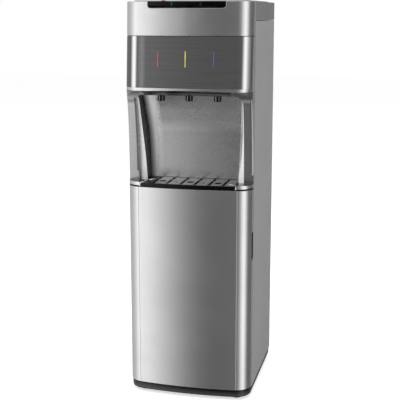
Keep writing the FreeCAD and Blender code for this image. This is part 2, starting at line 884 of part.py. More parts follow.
def make_hot_tank_jacket():
    low = tank_shelf_top
    outer = post(hot_x, hot_back, hot_jacket_radius, low, low + tank_height + 10.0)
    inner = post(hot_x, hot_back, hot_tank_radius + fit_gap, low + 10.0, low + tank_height + 20.0)
    outlet = rod_to_back(hot_x, hot_outlet_z, hose_radius + fit_gap, hot_back - 80.0, hot_back - 30.0)
    return outer.cut(inner).cut(outlet)


def make_compressor():
    low = deck_top + 15.0
    height = 160.0
    r = compressor_radius
    shell = turned(
        compressor_x,
        compressor_back,
        [
            (0, low),
            (r - 22, low),
            (r - 6, low + 10),
            (r, low + 24),
            (r, low + height - 62),
            (r - 3, low + height - 58),
            (r - 5, low + height - 36),
            (r - 16, low + height - 14),
            (r - 34, low + height - 3),
            (0, low + height),
        ],
    )
    plate = block(
        compressor_x - r - 3, compressor_x + r + 3, compressor_back - r - 3, compressor_back + r + 3,
        deck_top + 12.0, deck_top + 15.0
    )
    pocket = block(
        compressor_x - r, compressor_x + r - 30, compressor_back - r - 10, compressor_back - r + 12,
        low + 40, low + 90
    )
    return join([shell, plate, pocket])


def make_compressor_mounts():
    mounts = []
    reach = compressor_radius - 8.0
    for sx in (-1, 1):
        for sy in (-1, 1):
            x = compressor_x + sx * reach
            distance = compressor_back + sy * reach
            mounts.append(post(x, distance, 9.0, deck_top, deck_top + 12.0))
    return group(mounts)


def condenser_z(run):
    return gas_out_z + run * condenser_pitch


def make_condenser():
    side = condenser_half_width
    depth = case_depth + 8.0
    points = [point(gas_out_x, case_depth - 10.0, gas_out_z), point(gas_out_x, depth, gas_out_z)]
    sign = -1
    for run in range(condenser_runs):
        z = condenser_z(run)
        if run > 0:
            points.append(point(-sign * side, depth, z))
        points.append(point(sign * side, depth, z))
        sign = -sign
    points[-1] = point(gas_in_x, depth, gas_in_z)
    points.append(point(gas_in_x, case_depth - 10.0, gas_in_z))
    coil = tube(points, 2.4, 6.0)
    wires = []
    count = 17
    wire_bottom = gas_out_z - 12.0
    wire_top = condenser_z(condenser_runs - 1) + 12.0
    for index in range(count):
        x = (index - (count - 1) / 2) * 11.0
        for offset in (-3.3, 3.3):
            wires.append(post(x, depth + offset, 0.8, wire_bottom, wire_top))
    spacers = []
    for x in (-side + 14.0, side - 14.0):
        for run in (1, condenser_runs - 2):
            z = condenser_z(run)
            spacer = block(x - 4.0, x + 4.0, case_depth, case_depth + rear_reach, z - 7.0, z + 7.0)
            spacers.append(spacer.cut(rod_to_side(depth, z, 2.5, x - 5.0, x + 5.0)))
    return group([coil] + wires + spacers)


def make_refrigerant_lines():
    hot_side = compressor_back + compressor_radius
    start = [point(compressor_x, hot_side + 0.2, deck_top + 60.0)]
    discharge = tube(
        start
        + [
            point(compressor_x, gas_lane, deck_top + 60.0),
            point(gas_in_x, gas_lane, deck_top + 60.0),
            point(gas_in_x, gas_lane, gas_in_z),
            point(gas_in_x, case_depth - 10.3, gas_in_z),
        ],
        pipe_radius,
        7.0,
    )
    drier_low = deck_top + 66.0
    drier = post(gas_out_x, gas_lane, 9.0, drier_low, drier_low + 80.0)
    liquid_in = tube(
        [
            point(gas_out_x, case_depth - 10.3, gas_out_z),
            point(gas_out_x, gas_lane, gas_out_z),
            point(gas_out_x, gas_lane, drier_low + 1.0),
        ],
        pipe_radius,
        7.0,
    )
    wall = jacket_back + cold_tank_radius + 1.0
    liquid_out = tube(
        [
            point(gas_out_x, gas_lane, drier_low + 79.0),
            point(gas_out_x, gas_lane, suction_z + 60.0),
            point(gas_out_x, gas_lane - 24.0, suction_z + 60.0),
        ],
        pipe_radius,
        7.0,
    )
    suction = tube(
        [
            point(suction_x, wall - 4.0, suction_z),
            point(suction_x, gas_lane, suction_z),
            point(suction_x, gas_lane, deck_top + 100.0),
            point(suction_port_x, gas_lane, deck_top + 100.0),
            point(suction_port_x, suction_port_back, deck_top + 100.0),
        ],
        pipe_radius,
        7.0,
    )
    coil_low = cold_outlet_z + 14.0
    evaporator = helix_tube(cold_x, jacket_back, coil_low, cold_tank_radius + 5.2, 4.0, 20.0, 80.0)
    return group([discharge, join([liquid_in, drier, liquid_out]), suction, evaporator])


def make_water_lines():
    stub_end = tap_setback + 26.0
    hot_line = tube(
        [
            point(tap_places[0], stub_end, tap_inlet_z),
            point(tap_places[0], stub_end + 30.0, tap_inlet_z),
            point(hot_x, hot_back - hot_jacket_radius - 30.0, hot_outlet_z),
            point(hot_x, hot_back - hot_jacket_radius, hot_outlet_z),
        ],
        hose_radius,
        12.0,
    )
    cold_line = tube(
        [
            point(tap_places[2], stub_end, tap_inlet_z),
            point(tap_places[2], stub_end + 30.0, tap_inlet_z),
            point(cold_x, jacket_back - cold_jacket_radius - 20.0, cold_outlet_z),
            point(cold_x, jacket_back - cold_tank_radius - 0.2, cold_outlet_z),
        ],
        hose_radius,
        12.0,
    )
    lane = 130.0
    riser_top = tank_shelf_top + 20.0 + tank_height + 30.0
    riser = tube(
        [
            point(pump_x, pump_back, pump_top),
            point(pump_x, pump_back, pump_top + 26.0),
            point(pump_x, lane, pump_top + 46.0),
            point(pump_x, lane, riser_top),
            point(cold_x + 20.0, jacket_back - 30.0, riser_top),
            point(cold_x + 20.0, jacket_back - 30.0, tank_shelf_top + 20.0 + tank_height),
        ],
        hose_radius,
        12.0,
    )
    ambient_z = tap_inlet_z + 14.0
    ambient_line = tube(
        [
            point(pump_x - 3.5, lane, ambient_z),
            point(30.0, lane, ambient_z),
            point(0.0, stub_end + 30.0, tap_inlet_z),
            point(0.0, stub_end, tap_inlet_z),
        ],
        hose_radius,
        12.0,
    )
    fitting = join(
        [
            post(probe_x + 40.0, probe_back - 30.0, 5.7, bay_top - bay_wall - 14.0, deck_top + 10.0),
            post(probe_x + 40.0, probe_back - 30.0, 9.0, deck_top, deck_top + 4.0),
        ]
    )
    return group([hot_line, cold_line, join([riser, ambient_line]), fitting])


def make_pump():
    body = block(pump_x - 25, pump_x + 25, pump_back - 22, pump_back + 30, deck_top, deck_top + 34.0)
    motor = rod_to_back(pump_x, deck_top + 17.0, 15.0, pump_back + 30.0, pump_back + 72.0)
    outlet = post(pump_x, pump_back, 6.5, deck_top + 33.0, pump_top)
    return join([body, motor, outlet])


def make_bottle_probe():
    low = base_top + 32.0
    cap_low = holder_top
    wand = turned(
        probe_x,
        probe_back,
        [
            (0, low),
            (probe_radius - 3, low),
            (probe_radius, low + 20.0),
            (probe_radius, cap_low),
            (probe_cap_radius, cap_low),
            (probe_cap_radius, cap_low + 18.0),
            (probe_cap_radius - 4, cap_low + 24.0),
            (5.0, cap_low + 24.0),
            (5.0, cap_low + 34.0),
            (0, cap_low + 34.0),
        ],
    )
    return wand


def make_probe_holder():
    wall_x = -bay_clear_width / 2
    back = case_front + sheet + 0.7 + bay_depth - bay_wall
    arm = block(wall_x, probe_x + 15.0, probe_back - 10.0, back, holder_top - 16.0, holder_top)
    slot = block(probe_x - probe_radius - 0.4, probe_x + probe_radius + 0.4, probe_back - 30.0, probe_back,
                 holder_top - 20.0, holder_top + 1.0)
    seat = post(probe_x, probe_back, probe_radius + 0.4, holder_top - 20.0, holder_top + 1.0)
    return arm.cut(slot).cut(seat)


def make_control_box():
    side = -half + sheet
    low = tank_shelf_top + 60.0
    case = block(side + fit_gap, side + 19.0, 150.0, 250.0, low, low + 100.0)
    lid_groove = block(side + 15.5, side + 16.2, 149.0, 251.0, low - 1.0, low + 101.0)
    core = block(side + 8.0, side + 17.0, 152.0, 248.0, low + 2.0, low + 98.0)
    return case.cut(lid_groove.cut(core))


def make_switch_panel():
    back = case_depth + 1.5
    flange = block(switch_x - 13.5, switch_x + 13.5, case_depth, back, switch_z - 28, switch_z + 28)
    sleeve = block(
        switch_x - 10.7, switch_x + 10.7, case_depth - 14.0, case_depth, switch_z - 24.7, switch_z + 24.7
    )
    panel = join([flange, sleeve])
    x0, x1 = switch_x - 7.5, switch_x + 7.5
    for z in (switch_z + 12.5, switch_z - 12.5):
        panel = panel.cut(block(x0, x1, case_depth - 11.0, back + 1, z - 10.5, z + 10.5))
    return panel


def make_rocker(z):
    back = case_depth + 1.5
    pivot = point(switch_x, case_depth - 3.0, z)
    wheel = rod_to_side(case_depth - 3.0, z, 6.5, switch_x - 7.0, switch_x + 7.0)
    corners = [
        point(switch_x - 7.0, case_depth - 1.0, z - 9.5),
        point(switch_x - 7.0, case_depth - 1.0, z + 9.5),
        point(switch_x - 7.0, back + 0.5, z + 9.5),
        point(switch_x - 7.0, back - 0.5, z),
        point(switch_x - 7.0, back + 0.5, z - 9.5),
    ]
    rocker = join([wheel, polygon_prism(corners, FreeCAD.Vector(14.0, 0, 0))])
    rocker.rotate(pivot, FreeCAD.Vector(1, 0, 0), rocker_tilt / 2)
    return rocker


def inlet_block(side, reach, d0, d1):
    return block(switch_x - side, switch_x + side, d0, d1, inlet_z - reach, inlet_z + reach)


def make_power_inlet():
    flange = inlet_block(13.5, 17.0, case_depth, case_depth + 2.0)
    body = inlet_block(10.7, 12.7, case_depth - 22.0, case_depth)
    well = inlet_block(8.2, 10.5, case_depth - 16.0, case_depth + 3.0)
    pins = []
    for z, x in ((inlet_z + 5.0, switch_x + 2.5), (inlet_z, switch_x - 2.5), (inlet_z - 5.0, switch_x + 2.5)):
        pins.append(block(x - 1.0, x + 1.0, case_depth - 17.0, case_depth - 3.0, z - 1.5, z + 1.5))
    return join([join([flange, body]).cut(well)] + pins)


def make_drain_outlet():
    pipe = rod_to_back(drain_x, drain_z, drain_radius, case_depth - 24.0, case_depth + 12.0)
    flange_back = case_depth - rear_sheet
    flange = rod_to_back(drain_x, drain_z, drain_radius + 4.0, flange_back - 4.0, flange_back)
    bore = rod_to_back(drain_x, drain_z, drain_radius - 2.5, case_depth - 25.0, case_depth + 13.0)
    return join([pipe, flange]).cut(bore)


def make_drain_cap():
    outer = rod_to_back(drain_x, drain_z, drain_radius + 3.0, case_depth + 1.0, case_depth + 14.5)
    inner = rod_to_back(drain_x, drain_z, drain_radius + fit_gap, case_depth, case_depth + 12.3)
    grips = []
    for index in range(10):
        angle = index * math.pi / 5
        x = drain_x + (drain_radius + 3.4) * math.cos(angle)
        z = drain_z + (drain_radius + 3.4) * math.sin(angle)
        grips.append(rod_to_back(x, z, 1.3, case_depth, case_depth + 15.0))
    return outer.cut(inner).cut(group(grips))


# Places of what is inside and at the back
tray_seat = 1.0
tray_half_width = opening_half - 14.0
tray_basin_half = opening_half - niche_rows[0][4] - 1.5
pocket_half = 1.5 * key_width + key_gap + pocket_wall + 0.6
panel_half = half - 3.5
strip_places = [-strip_spacing, 0.0, strip_spacing]
strip_z = panel_bottom + 0.564 * panel_height
valve_top = niche_top + moulding + fit_gap + valve_height
tap_inlet_z = valve_top - 16.0
collar_z = valve_top + 30.0
lock_x = key_places[0]
lock_back = 28.0
probe_x = -bay_clear_width / 2 + 22.0
probe_back = case_front + sheet + 0.7 + bay_depth - bay_wall - 22.0
holder_top = bay_top - 60.0
compressor_x = -half + 87.0
compressor_back = 235.0
gas_lane = case_depth - 22.0
gas_in_x = -condenser_half_width
gas_out_x = condenser_half_width
gas_out_z = deck_top + 50.0
gas_in_z = gas_out_z + (condenser_runs - 1) * condenser_pitch
suction_x = 0.0
suction_port_x = compressor_x + 30.0
suction_port_depth = math.sqrt(compressor_radius ** 2 - (suction_port_x - compressor_x - pipe_radius) ** 2)
suction_port_back = compressor_back + suction_port_depth + fit_gap
suction_z = tank_shelf_top + 40.0
hot_outlet_z = tap_inlet_z + 30.0
cold_outlet_z = tank_shelf_top + 28.0
pump_x = half - 45.0
pump_back = 170.0
pump_top = deck_top + 40.0
switch_x = half - 28.0
switch_z = niche_top + 100.0
inlet_z = deck_top + 45.0
drain_x = -half + 31.0
drain_z = deck_top + 30.0
drain_radius = 9.0
rocker_tilt = 14.0


def main():
    nodes = {
        "base_plate": make_base_plate(),
        "rubber_feet": make_rubber_feet(),
        "left_side_panel": make_side_panel(-1),
        "right_side_panel": make_side_panel(1),
        "rear_panel": make_rear_panel(),
        "case_screws": make_case_screws(),
        "bay_liner": make_bay_liner(),
        "machine_deck": make_machine_deck(),
        "tank_shelf": make_tank_shelf(),
        "top_cover": make_top_cover(),
        "head_shell": make_head_shell(),
        "button_pocket": make_button_pocket(),
        "child_lock": make_child_lock(),
        "control_panel": make_control_panel(),
        "front_frame": make_front_frame(),
        "niche_liner": make_niche_liner(),
        "drip_tray": make_drip_tray(),
        "drip_grille": make_drip_grille(),
        "door_skin": make_door_skin(),
        "door_trim_left": make_door_trim(-1),
        "door_trim_right": make_door_trim(1),
        "door_liner": make_door_liner(),
        "catch_magnet": magnet_block(0.0),
        "lower_hinge": make_hinge(True),
        "upper_hinge": make_hinge(False),
        "cold_tank": make_cold_tank(),
        "cold_tank_jacket": make_cold_tank_jacket(),
        "tank_float": make_tank_float(),
        "hot_tank": make_hot_tank(),
        "hot_tank_jacket": make_hot_tank_jacket(),
        "compressor": make_compressor(),
        "compressor_mounts": make_compressor_mounts(),
        "condenser": make_condenser(),
        "refrigerant_lines": make_refrigerant_lines(),
        "water_lines": make_water_lines(),
        "pump": make_pump(),
        "bottle_probe": make_bottle_probe(),
        "probe_holder": make_probe_holder(),
        "control_box": make_control_box(),
        "switch_panel": make_switch_panel(),
        "hot_rocker": make_rocker(switch_z + 12.5),
        "cold_rocker": make_rocker(switch_z - 12.5),
        "power_inlet": make_power_inlet(),
        "drain_outlet": make_drain_outlet(),
        "drain_cap": make_drain_cap(),
    }
    for index, name in enumerate(("hot", "ambient", "cold")):
        x = tap_places[index]
        nodes[name + "_button"] = make_key(index)
        nodes[name + "_push_rod"] = make_push_rod(x)
        nodes[name + "_spring"] = make_spring(x)
        nodes[name + "_tap"] = make_tap(x)
        nodes[name + "_strip"] = make_strip(strip_places[index])
    os.makedirs("parts", exist_ok=True)
    for name, shape in nodes.items():
        solids = len(shape.Solids)
        print(name, "solids", solids, "valid", shape.isValid(), "volume", round(shape.Volume))
        shape.exportStep("parts/" + name + ".step")
    print(len(nodes), "nodes")


main()
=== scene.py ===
import bpy
import bmesh
import json
import math
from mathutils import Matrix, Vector


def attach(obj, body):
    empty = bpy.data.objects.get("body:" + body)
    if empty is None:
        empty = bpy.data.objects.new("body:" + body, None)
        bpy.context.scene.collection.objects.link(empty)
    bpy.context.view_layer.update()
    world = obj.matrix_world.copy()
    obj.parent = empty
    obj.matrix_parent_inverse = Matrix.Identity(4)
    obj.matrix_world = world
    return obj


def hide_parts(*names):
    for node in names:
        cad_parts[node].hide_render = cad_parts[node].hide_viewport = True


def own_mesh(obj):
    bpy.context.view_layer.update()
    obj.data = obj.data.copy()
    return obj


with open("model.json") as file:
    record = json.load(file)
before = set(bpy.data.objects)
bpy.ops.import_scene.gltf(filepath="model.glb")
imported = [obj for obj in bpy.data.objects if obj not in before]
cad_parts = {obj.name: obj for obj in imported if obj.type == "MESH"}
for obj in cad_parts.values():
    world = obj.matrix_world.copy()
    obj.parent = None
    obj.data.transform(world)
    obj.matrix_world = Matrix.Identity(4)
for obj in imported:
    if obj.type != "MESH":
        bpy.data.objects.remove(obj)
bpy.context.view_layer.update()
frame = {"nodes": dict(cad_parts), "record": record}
cadNodes = frame["nodes"]
slotOf = {row["node"]: row["material_slot"] for row in frame["record"]["subparts"]}
bodyOf = {node: body for body, nodes in frame["record"]["behaviour"]["bodies"].items() for node in nodes}
print("frame loaded with", len(cadNodes), "nodes")

# Y of the door's bowed front at its middle; depths below are measured back from it
crownY = -0.175


def at(x, depth, z):
    return Vector((x, crownY + depth, z))


def placed(name, data):
    holder = bpy.data.objects.new(name, data)
    bpy.context.scene.collection.objects.link(holder)
    return holder


# The camera stands where the photographer stood, a little right of the middle and near the top's height
camera = {
    "place": (0.549, -2.309, 1.0017),
    "turnLeft": 13.52,  # degrees
    "tiltDown": 10.61,
    "lens": 79.5,
    "sensor": 36.0,
    "shiftY": -0.05,
    "farthest": 60.0,
}


def makeCamera(c):
    lens = bpy.data.cameras.new("studioCamera")
    lens.lens = c["lens"]
    lens.sensor_width = c["sensor"]
    lens.shift_y = c["shiftY"]
    lens.clip_end = c["farthest"]
    holder = placed("studioCamera", lens)
    holder.location = c["place"]
    holder.rotation_euler = (math.radians(90 - c["tiltDown"]), 0, math.radians(c["turnLeft"]))
    bpy.context.scene.camera = holder


makeCamera(camera)
print("camera placed")


def summing(operation, turned=False):
    # A method of Value that sums in one node; turned round for a number minus a value
    def summed(*values):
        inputs = dict(enumerate(reversed(values) if turned else values))
        return values[0].graph.add("ShaderNodeMath", {"operation": operation}, inputs)

    return summed


# Sums on values that vary over a surface are written as plain Python sums
class Value:
    def __init__(self, graph, socket):
        self.graph = graph
        self.socket = socket

    __add__ = summing("ADD")
    __sub__ = summing("SUBTRACT")
    __rsub__ = summing("SUBTRACT", turned=True)
    __mul__ = summing("MULTIPLY")
    __truediv__ = summing("DIVIDE")
    __abs__ = summing("ABSOLUTE")
    under = summing("LESS_THAN")
    over = summing("GREATER_THAN")
    atMost = summing("MINIMUM")
    atLeast = summing("MAXIMUM")
    wrapped = summing("MODULO")
    angleTo = summing("ARCTAN2")

    def clipped(self):
        return self.atLeast(0.0).atMost(1.0)

    def rising(self, start, end):
        # 0 up to the start and 1 from the end
        return self.graph.ranged(self, start, end, 0.0, 1.0)

    def falling(self, start, end):
        return self.graph.ranged(self, start, end, 1.0, 0.0)


class Graph:
    def __init__(self, tree):
        self.tree = tree
        tree.nodes.clear()

    def put(self, socket, value):
        if isinstance(value, Value):
            self.tree.links.new(value.socket, socket)
        elif socket.type == "RGBA":
            socket.default_value = (*value, 1.0)
        else:
            socket.default_value = value

    def add(self, kind, settings=None, inputs=None, out=0):
        node = self.tree.nodes.new(kind)
        for name, setting in (settings or {}).items():
            if name == "stops":
                while len(node.color_ramp.elements) < len(setting):
                    node.color_ramp.elements.new(0.5)
                for element, (position, colour) in zip(node.color_ramp.elements, setting):
                    element.position = position
                    element.color = (*colour, 1.0)
            else:
                setattr(node, name, setting)
        for name, value in (inputs or {}).items():
            # A list feeds one socket several times
            for part in value if isinstance(value, list) else [value]:
                self.put(node.inputs[name], part)
        return Value(self, node.outputs[out])

    def ranged(self, value, low, high, toLow, toHigh):
        inputs = {"Value": value, "From Min": low, "From Max": high, "To Min": toLow, "To Max": toHigh}
        return self.add("ShaderNodeMapRange", inputs=inputs)


noiseSpan = (0.3, 0.7)  # where nearly all values of a noise lie
narrowSpan = (0.35, 0.65)


class Look(Graph):
    def __init__(self, name):
        self.material = bpy.data.materials.new(name)
        self.material.use_nodes = True
        super().__init__(self.material.node_tree)
        output = self.tree.nodes.new("ShaderNodeOutputMaterial")
        self.shader = self.tree.nodes.new("ShaderNodeBsdfPrincipled")
        self.tree.links.new(self.shader.outputs[0], output.inputs[0])

    def surface(self, **inputs):
        names = {
            "colour": "Base Color", "roughness": "Roughness", "metallic": "Metallic", "normal": "Normal",
            "coat": "Coat Weight", "coatRoughness": "Coat Roughness", "specular": "Specular IOR Level",
            "glow": "Emission Color", "glowStrength": "Emission Strength", "subsurface": "Subsurface Weight",
            "subsurfaceScale": "Subsurface Scale",
        }
        for name, value in inputs.items():
            self.put(self.shader.inputs[names[name]], value)
        return self.material

    def place(self):
        return self.add("ShaderNodeTexCoord", out="Object")

    def axis(self, index):
        return self.add("ShaderNodeSeparateXYZ", inputs={0: self.place()}, out=index)

    def facing(self, index):
        # How far the surface faces along one axis, from -1 to 1
        normal = self.add("ShaderNodeTexCoord", out="Normal")
        return self.add("ShaderNodeSeparateXYZ", inputs={0: normal}, out=index)

    def stretched(self, scale):
        return self.add("ShaderNodeMapping", inputs={"Vector": self.place(), "Scale": scale})

    def noise(self, scale, detail=3.0, vector=None, roughness=0.5):
        inputs = {"Vector": vector or self.place(), "Scale": scale, "Detail": detail, "Roughness": roughness}
        return self.add("ShaderNodeTexNoise", inputs=inputs)

    def cells(self, scale, feature="F1", out="Distance"):
        inputs = {"Vector": self.place(), "Scale": scale}
        return self.add("ShaderNodeTexVoronoi", {"feature": feature}, inputs, out)

    def colours(self, value, *stops):
        return self.add("ShaderNodeValToRGB", {"stops": stops}, {"Fac": value})

    def mixed(self, amount, first, second):
        return self.add("ShaderNodeMix", {"data_type": "RGBA"}, {0: amount, 6: first, 7: second}, 2)

    def varied(self, noise, low, high):
        return self.ranged(noise, *noiseSpan, low, high)

    def clouded(self, scale, detail, first, second):
        # Two colours that drift into each other
        return self.mixed(self.noise(scale, detail).rising(*noiseSpan), first, second)

    def smudged(self, scale, low, high):
        # A value between low and high that wanders as over handled places
        return self.varied(self.noise(scale, 4.0), low, high)

    def bump(self, height, strength, distance):
        inputs = {"Height": height, "Strength": strength, "Distance": distance}
        return self.add("ShaderNodeBump", inputs=inputs)

    def rippled(self, scale, depth, strength=0.3):
        return self.bump(self.noise(scale, 2.0), strength, depth)


# A tree of geometry nodes, whose sizes are its named inputs
class Build(Graph):
    def __init__(self, name, sizes):
        super().__init__(bpy.data.node_groups.new(name, "GeometryNodeTree"))
        face = self.tree.interface
        for way in ("OUTPUT", "INPUT"):
            face.new_socket("Geometry", in_out=way, socket_type="NodeSocketGeometry")
        self.sizes = sizes
        self.keys = {}
        for label in sizes:
            socket = face.new_socket(label, in_out="INPUT", socket_type="NodeSocketFloat")
            self.keys[label] = socket.identifier
        self.start = self.tree.nodes.new("NodeGroupInput")
        self.values = [Value(self, self.start.outputs[label]) for label in sizes]

    def along(self, x=0.0, y=0.0, z=0.0):
        return self.add("ShaderNodeCombineXYZ", inputs={0: x, 1: y, 2: z})

    def moved(self, shape, **how):
        names = {"by": "Translation", "turn": "Rotation", "scale": "Scale"}
        inputs = {"Geometry": shape, **{names[name]: value for name, value in how.items()}}
        return self.add("GeometryNodeTransform", inputs=inputs)

    def block(self, x, y, z):
        return self.add("GeometryNodeMeshCube", inputs={"Size": self.along(x, y, z)})

    def rod(self, radius, length, sides):
        inputs = {"Vertices": sides, "Radius": radius, "Depth": length}
        return self.add("GeometryNodeMeshCylinder", inputs=inputs)

    def solid(self, operation, meshes):
        return self.add("GeometryNodeMeshBoolean", {"operation": operation, "solver": "EXACT"}, meshes)

    def joined(self, *shapes):
        return self.solid("UNION", {"Mesh 2": list(shapes)})

    def cut(self, shape, cutter):
        return self.solid("DIFFERENCE", {"Mesh 1": shape, "Mesh 2": cutter})

    def made(self, name, places, shape, material):
        # The shape at each of the places, as a plain mesh object
        points = Value(self, self.start.outputs["Geometry"])
        copies = self.add("GeometryNodeInstanceOnPoints", inputs={"Points": points, "Instance": shape})
        real = self.add("GeometryNodeRealizeInstances", inputs={0: copies})
        dressed = self.add("GeometryNodeSetMaterial", inputs={"Geometry": real, "Material": material})
        end = self.tree.nodes.new("NodeGroupOutput")
        self.tree.links.new(dressed.socket, end.inputs[0])
        mesh = bpy.data.meshes.new(name)
        mesh.from_pydata([tuple(place) for place in places], [], [])
        piece = placed(name, mesh)
        modifier = piece.modifiers.new(name, "NODES")
        modifier.node_group = self.tree
        for label, size in self.sizes.items():
            modifier[self.keys[label]] = size
        return finishedMesh(piece, name)


# Satin silver lacquer with fine metal flake, on the head, front frame and door, with painted shade and
# painted highlights in zones. Places and heights are in metres. In a pair a zone begins at the first place,
# height or facing and is full at the second.
silver = {
    "colour": (0.67, 0.67, 0.68),
    "shade": (0.62, 0.62, 0.63),
    "drift": (7.0, 2.0),                # scale and detail of the clouds and of the flake
    "flake": (1900.0, 2.0),
    "spark": (0.92, 0.92, 0.94),
    "sparks": (0.5, 0.75, 0.0, 0.02),   # flake noise from and to, strength from and to
    "seam": (0.02, 0.02, 0.02),         # colour of the painted shade lines
    "under": (0.30, 0.30, 0.305),       # painted shade on faces that look down, and painted light on those at the left
    "underLeft": (0.85, 0.85, 0.86),
    "underFrom": (-0.095, -0.140),
    "downward": (-0.30, -0.75),
    "shelfTop": (0.10, 0.10, 0.105),    # painted shade on top faces below shelfUnder, which are the shelf's
    "shelfUnder": 0.60,
    "upward": (0.70, 0.95),
    "shelfLine": (0.5680, 0.5686),      # painted shadow line along the shelf's lower edge
    "shelfLineLow": 0.5650,
    "groove": (0.8112, 0.0018, 0.0026),     # painted shade line under the ledge: height, full and end of half its width
    "grooveFacing": 0.5,
    "coveEnds": (0.113, 0.121),         # from this far out the cove under the ledge is matt, with painted shade
    "coveHeights": (0.8135, 0.7900),
    "coveFade": (0.7820, 0.7960),
    "coveDark": (0.072, 0.072, 0.073),  # painted shade on the cove, whose left end turns lighter downwards as painted light
    "coveLight": (0.42, 0.42, 0.43),
    "pillar": (0.43, 0.43, 0.435),      # painted shade on the front of the right pillar
    "pillarFrom": 0.138,
    "pillarLow": 0.5785,
    "pillarFacing": -0.80,
    "edge": (0.38, 0.38, 0.39),         # painted highlight, matt, on the outer edge of the right pillar
    "edgeFrom": (0.1600, 0.1608),
    "edgeFacing": -0.85,
    "edgeLine": (0.1588, 0.0006, 0.0014, 0.5),  # painted shade line beside the edge: x, full and end of half its width, strength
    "rim": (0.085, 0.085, 0.087),       # painted shade, matt, on the inner rim of the left pillar
    "rimFrom": (-0.1448, -0.1436),
    "rimTop": (0.790, 0.796),
    "side": (0.22, 0.22, 0.225),        # painted shade, matt, on faces that look sideways
    "sideways": (0.965, 0.995),
    "smudges": (26.0, -0.010, 0.014),
    "roughness": (0.229, 0.241),
    "metallic": 0.95,
    "coat": 0.10,
    "coatRoughness": 0.10,
    "orangePeel": 210.0,
    "peelDepth": 0.000003,
    "peelStrength": 0.08,
}


def silverLook(name, s):
    look = Look(name)
    x, z = look.axis(0), look.axis(2)
    right, back, up = look.facing(0), look.facing(1), look.facing(2)
    flake = look.noise(*s["flake"])
    colour = look.clouded(*s["drift"], s["colour"], s["shade"])
    colour = look.mixed(look.ranged(flake, *s["sparks"]), colour, s["spark"])
    # Painted shade on faces that look down, with painted light on them at the far left
    under = look.mixed(x.rising(*s["underFrom"]), s["under"], s["underLeft"])
    colour = look.mixed(up.rising(*s["downward"]), colour, under)
    # Painted shade on the shelf's top faces
    shelf = up.rising(*s["upward"]) * z.under(s["shelfUnder"])
    colour = look.mixed(shelf, colour, s["shelfTop"])
    # Painted shade line under the ledge
    middle, full, end = s["groove"]
    belowLedgeShade = z.under(middle - end)
    ends = abs(x).rising(*s["coveEnds"])
    groove = abs(z - middle).falling(full, end) * up.under(s["grooveFacing"]) * (1.0 - ends)
    # Painted shade on the cove's ends, with painted light lower down at the left
    ends = ends * z.under(s["coveHeights"][0]) * z.rising(*s["coveFade"])
    lower = z.rising(*s["coveHeights"]) * x.under(0.0)
    colour = look.mixed(ends, colour, look.mixed(lower, s["coveDark"], s["coveLight"]))
    # Painted shadow line along the shelf's lower edge
    shelfLine = z.falling(*s["shelfLine"]) * z.over(s["shelfLineLow"])
    colour = look.mixed(groove.atLeast(shelfLine), colour, s["seam"])
    # Painted shade on the front of the right pillar
    pillar = x.over(s["pillarFrom"]) * z.over(s["pillarLow"]) * belowLedgeShade * back.under(s["pillarFacing"])
    colour = look.mixed(pillar * (1.0 - ends), colour, s["pillar"])
    # A painted highlight along the right pillar's outer edge, with a painted shade line beside it
    height = z.over(s["shelfUnder"]) * belowLedgeShade
    edge = x.rising(*s["edgeFrom"]) * height * back.under(s["edgeFacing"])
    lineX, lineFull, lineEnd, strength = s["edgeLine"]
    line = look.ranged(abs(x - lineX), lineFull, lineEnd, strength, 0.0) * height
    colour = look.mixed(line, look.mixed(edge, colour, s["edge"]), s["seam"])
    # Painted shade on the left pillar's inner rim
    rim = x.rising(*s["rimFrom"]) * x.under(0.0) * height * z.falling(*s["rimTop"])
    colour = look.mixed(rim, colour, s["rim"])
    # Painted shade on faces that look sideways
    side = abs(right).rising(*s["sideways"])
    colour = look.mixed(side, colour, s["side"])
    roughness = look.smudged(*s["smudges"]) + look.varied(flake, *s["roughness"])
    # The painted highlight and the painted shade on the cove's ends, the rim and the sides are matt
    matt = edge.atLeast(side).atLeast(ends).atLeast(rim)
    return look.surface(colour=colour, roughness=roughness, coat=s["coat"], coatRoughness=s["coatRoughness"],
                        metallic=(1.0 - matt) * s["metallic"],
                        normal=look.rippled(s["orangePeel"], s["peelDepth"], s["peelStrength"]))


# Dark tinted steel of the control panel, brushed from side to side, with painted highlights in bands of pale
# metal where the sheet bends round the corners
brushed = {
    "colour": (0.064, 0.064, 0.065),
    "light": (0.100, 0.100, 0.101),
    # colour of the painted highlight bands
    "bare": (0.78, 0.78, 0.79),
    "roughness": (0.24, 0.37),
    "metallic": (0.3, 1.0),  # of the tinted steel and of the painted highlight bands
    "grains": [  # stretch, detail, roughness and share of the coarse and the fine marks
        ((3.0, 3.0, 1500.0), 5.0, 0.7, 0.6), ((14.0, 14.0, 4200.0), 3.0, 0.6, 0.4),
    ],
    "bump": (0.25, 0.00002),
    "bands": [  # painted highlight bands: x, full and end of half the width, strength
        (-0.1355, 0.0024, 0.0088, 1.0), (0.1503, 0.0030, 0.0100, 1.0), (-0.1140, 0.0020, 0.0110, 0.10),
    ],
}


def brushedLook(name, b):
    look = Look(name)
    coarse, fine = [look.noise(1.0, detail, look.stretched(stretch), rough) * share
                    for stretch, detail, rough, share in b["grains"]]
    both = coarse + fine
    tinted = look.mixed(both.rising(*narrowSpan), b["colour"], b["light"])
    # Painted highlight bands where the sheet bends round the corners
    bare = 0.0
    for middle, full, end, strength in b["bands"]:
        bare = look.ranged(abs(look.axis(0) - middle), full, end, strength, 0.0) + bare
    bare = bare.clipped()
    return look.surface(colour=look.mixed(bare, tinted, b["bare"]),
                        roughness=look.varied(both, *b["roughness"]),
                        metallic=look.ranged(bare, 0.0, 1.0, *b["metallic"]),
                        normal=look.bump(both, *b["bump"]))
